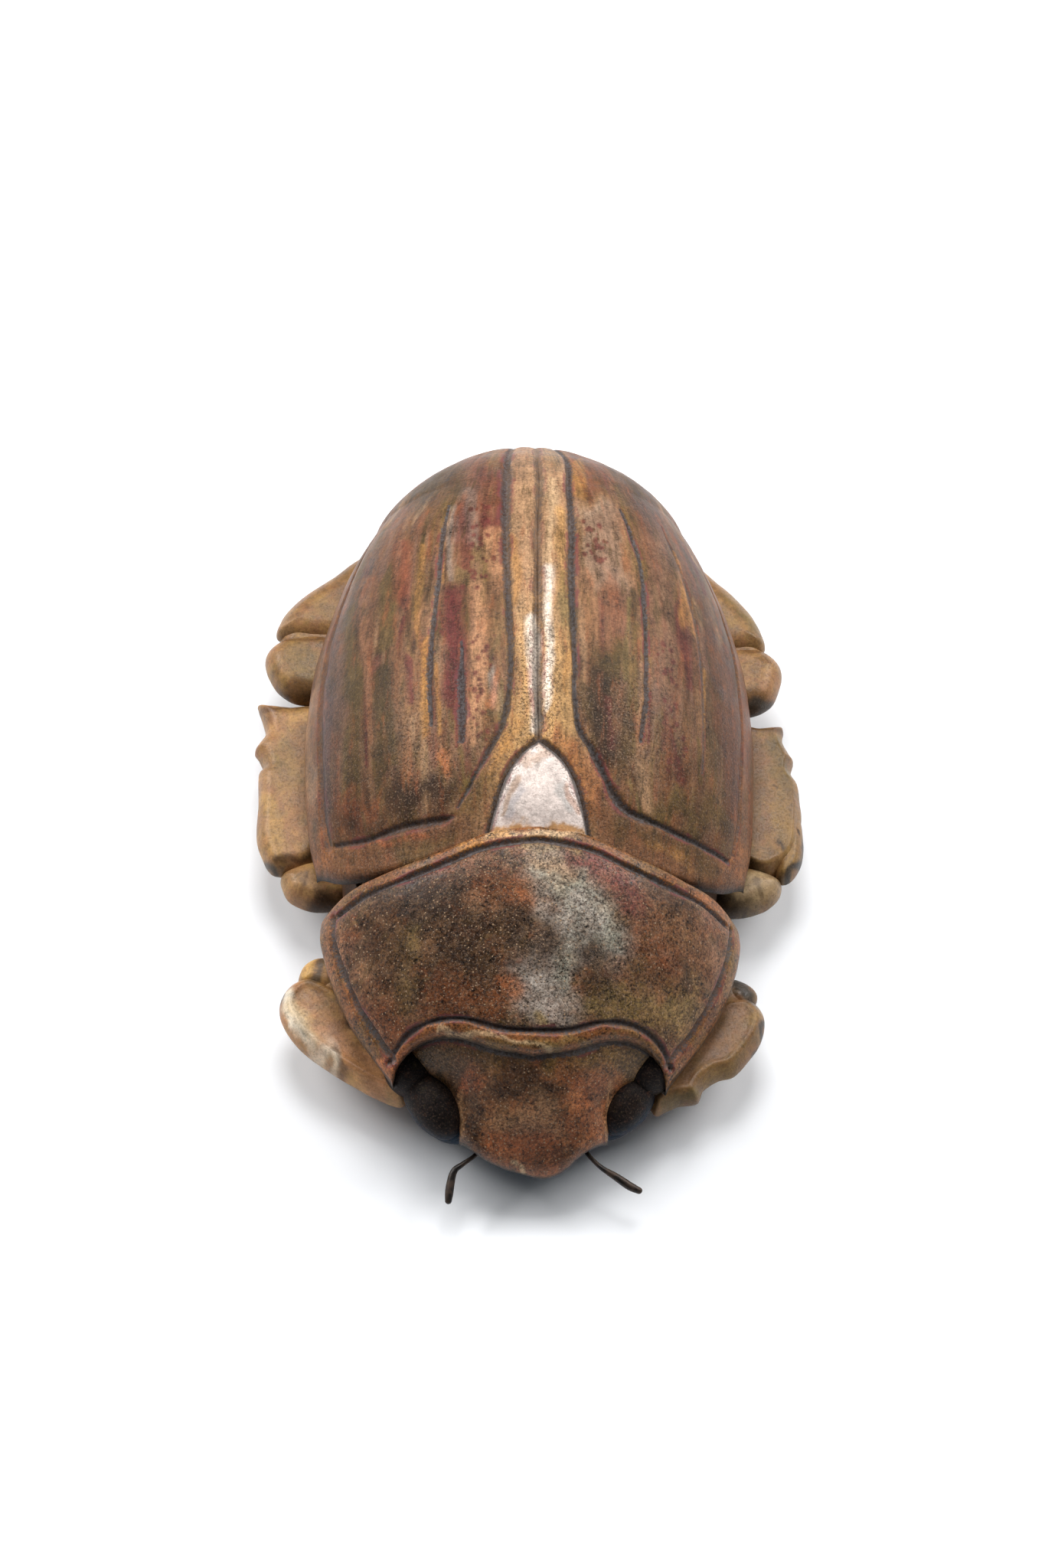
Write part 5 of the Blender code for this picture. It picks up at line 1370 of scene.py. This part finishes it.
# %% Belly and waist
BELLY_FINISH = patina_finish("belly patina", gloss=0.50)
BELLY_ROWS = ((0.0, 20.5, -39.5, 46.0), (1.4, 23.0, -42.5, 49.0), (6.0, 25.2, -45.0, 51.5),
              (12.0, 26.2, -45.5, 52.3), (16.5, 24.5, -42.0, 50.0))   # height, half width, front, back
SEGMENTS = (-22.0, -9.0, 3.0, 14.0, 24.0, 33.0)
WAIST = ((0.0, -15.6, 15.0), (23.5, 9.0, 15.0), 0.0)
BELLY_STROKES = ((DARK_OLIVE, 0, -30, 0, 40, 9.0, 0.5), (RUST, -14, 0, -12, 30, 4.0, 0.3))


def belly(around=200):
    """A flat-bottomed bowl: rings of superellipses, a flat disc below and a hidden lid above."""
    top, sole_rows, side_rows = 16.5, 70, 40
    share = np.concatenate((np.linspace(0.0, 0.96, sole_rows), np.ones(side_rows), (0.5, 0.0)))[:, None]
    height = np.concatenate((np.zeros(sole_rows), np.linspace(0.0, top, side_rows), (top, top)))[:, None]
    stations, half, front, back = np.array(BELLY_ROWS).T
    turned = np.linspace(0.0, 2 * math.pi, around, endpoint=False)[None, :]
    c, s = np.cos(turned), np.sin(turned)
    half, front, back = (ramp(height, stations, row) for row in (half, front, back))
    x = share * half * np.sign(c) * abs(c)**(2 / 2.4)
    y = (front + back) / 2 + share * (back - front) / 2 * np.sign(s) * abs(s)**(2 / 2.4)
    flat = (height == 0.0) * (share < 0.93)
    cut = sum(np.clip(1.0 - ((y - at - 0.012 * x**2) / 0.8)**2, 0.0, 1.0)**2 for at in SEGMENTS)
    return np.stack((x, y, height + 0.45 * flat * np.minimum(cut, 1.0)), axis=-1)


belly_grids = [belly(), worn(pebble(*WAIST, around=120, down=60), 241)]
# BROWN * 0.6 is painted shade: the belly and the waist lie under the shells.
belly_colours = [brush(BROWN * 0.6 + 0.0 * grid, grid[..., 0], grid[..., 1], BELLY_STROKES, 243)
                 for grid in belly_grids]
under = closed_piece("belly", belly_grids, belly_colours, BELLY_FINISH)

# %% [markdown]
# The antennae are two bent wires, set in holes in the face. Their outer half is thicker, as a beetle's
# club is, and they are nearly black.

# %% Antennae
ANTENNAE = {
    "antenna_left": ((-6.4, -47.8, 7.1), (-7.3, -49.4, 7.4), (-9, -50.8, 7.5), (-10.1, -51.7, 7.3),
                     (-10.6, -53.4, 6.7), (-10.9, -55.9, 5.9)),
    "antenna_right": ((6.9, -47.8, 7.1), (7.8, -49.4, 7.4), (9.4, -51.2, 7.5), (11.5, -52.5, 7.1),
                      (13.3, -53.5, 6.4), (14.9, -54, 5.7))}
SOCKET_DEPTH = 3.0


def wire_finish(name):
    """Dark tarnish that a soft noise makes lighter and duller in places."""
    f = Finish(name)
    tarnish = f.between(0.35, 0.65, f.noise(0.9, detail=3.0))
    bump = f.node("Bump", {}, {"Strength": 0.5, "Distance": 0.00005, "Height": f.noise(0.25, detail=2.0)},
                  output="Normal")
    return f.set(Base_Color=f.mix(tarnish, tone(30, 26, 24), tone(62, 48, 38)),
                 Roughness=tarnish * 0.15 + 0.38, Metallic=0.5, Normal=bump)


def antenna(name, points, finish, around=28):
    """A tube along a smooth path. It thickens into a club, and both its ends are rounded to a point."""
    inward = np.array(points[0]) - np.array(points[1])
    start = np.array(points[0]) + inward / np.linalg.norm(inward) * SOCKET_DEPTH
    path = np.vstack((start, through(points, 110)))
    run = np.concatenate(([0.0], np.cumsum(np.linalg.norm(np.diff(path, axis=0), axis=1))))
    share = run / run[-1]
    radius = ramp(share, (0.0, 0.55, 0.72, 0.90, 1.0), (0.35, 0.35, 0.52, 0.55, 0.40))
    end = np.clip((run[-1] - run) / 0.4, 0.0, 1.0)
    radius = radius * np.sqrt(1.0 - (1.0 - end)**2)
    radius[0] = 0.0
    ahead = np.gradient(path, axis=0)
    ahead /= np.linalg.norm(ahead, axis=1)[:, None]
    side = np.cross(ahead, (0.0, 0.0, 1.0))
    side /= np.linalg.norm(side, axis=1)[:, None]
    up = np.cross(side, ahead)
    turned = np.linspace(0.0, 2 * math.pi, around, endpoint=False)[None, :, None]
    ring = side[:, None] * np.cos(turned) + up[:, None] * np.sin(turned)
    grid = path[:, None] + radius[:, None, None] * ring
    return closed_piece(name, [grid], [SOOT + 0.0 * grid], finish, node=name)


antennae = [antenna(name, points, wire_finish("wire " + name[8:])) for name, points in ANTENNAE.items()]

# %% [markdown]
# The picture: the figure lies on a white table in soft light from above and a little behind, so that
# the dark shadow gathers under the head. The camera looks down at sixty degrees over the head.

# %% Floor and light
REACH = 0.6              # metres from the middle of the table to its edge
LIGHT_AIM = (0.0, 0.0, 0.01)

corners = [(-REACH, -REACH, 0), (REACH, -REACH, 0), (REACH, REACH, 0), (-REACH, REACH, 0)]
floor_mesh = bpy.data.meshes.new("floor")
floor_mesh.from_pydata(corners, [], [(0, 1, 2, 3)])
floor_mesh.materials.append(Finish("white table").set(Base_Color=(0.93, 0.94, 0.96, 1.0), Roughness=0.6))
floor = bpy.data.objects.new("floor", floor_mesh)
bpy.context.scene.collection.objects.link(floor)

world = bpy.data.worlds.new("studio")
world.use_nodes = True
sky = world.node_tree.nodes["Background"].inputs
sky["Color"].default_value = (0.82, 0.91, 1.0, 1.0)
sky["Strength"].default_value = 0.09
bpy.context.scene.world = world


def soft_light(name, place, size, power):
    """A square soft light, turned to look at the figure."""
    lamp = bpy.data.lights.new(name, "AREA")
    lamp.shape = "SQUARE"
    lamp.size = size
    lamp.energy = power
    made = bpy.data.objects.new(name, lamp)
    made.location = place
    made.rotation_euler = (Vector(LIGHT_AIM) - Vector(place)).to_track_quat("-Z", "Y").to_euler()
    bpy.context.scene.collection.objects.link(made)
    return made


lights = [soft_light("overhead", (0.0, 0.34, 0.70), 0.36, 3.9),
          soft_light("left side", (-0.54, 0.28, 0.48), 0.40, 4.9),
          soft_light("right side", (0.54, 0.28, 0.48), 0.40, 4.9)]
print("lights:", [light.name for light in lights])

# %% Camera
CAMERA_TILT = math.radians(60.0)
CAMERA_DISTANCE = 0.600
aim = Vector(to_model((-1.0, 3.3, 15.0)))
camera_data = bpy.data.cameras.new("camera")
camera_data.lens = 100.0
camera_data.sensor_width = 36.0
camera = bpy.data.objects.new("camera", camera_data)
camera.location = aim + Vector((0.0, -math.cos(CAMERA_TILT), math.sin(CAMERA_TILT))) * CAMERA_DISTANCE
camera.rotation_euler = (math.radians(90.0) - CAMERA_TILT, 0.0, 0.0)
bpy.context.scene.collection.objects.link(camera)
bpy.context.scene.camera = camera
bpy.context.scene.view_settings.view_transform = "Standard"
print("camera at", [round(value, 3) for value in camera.location])
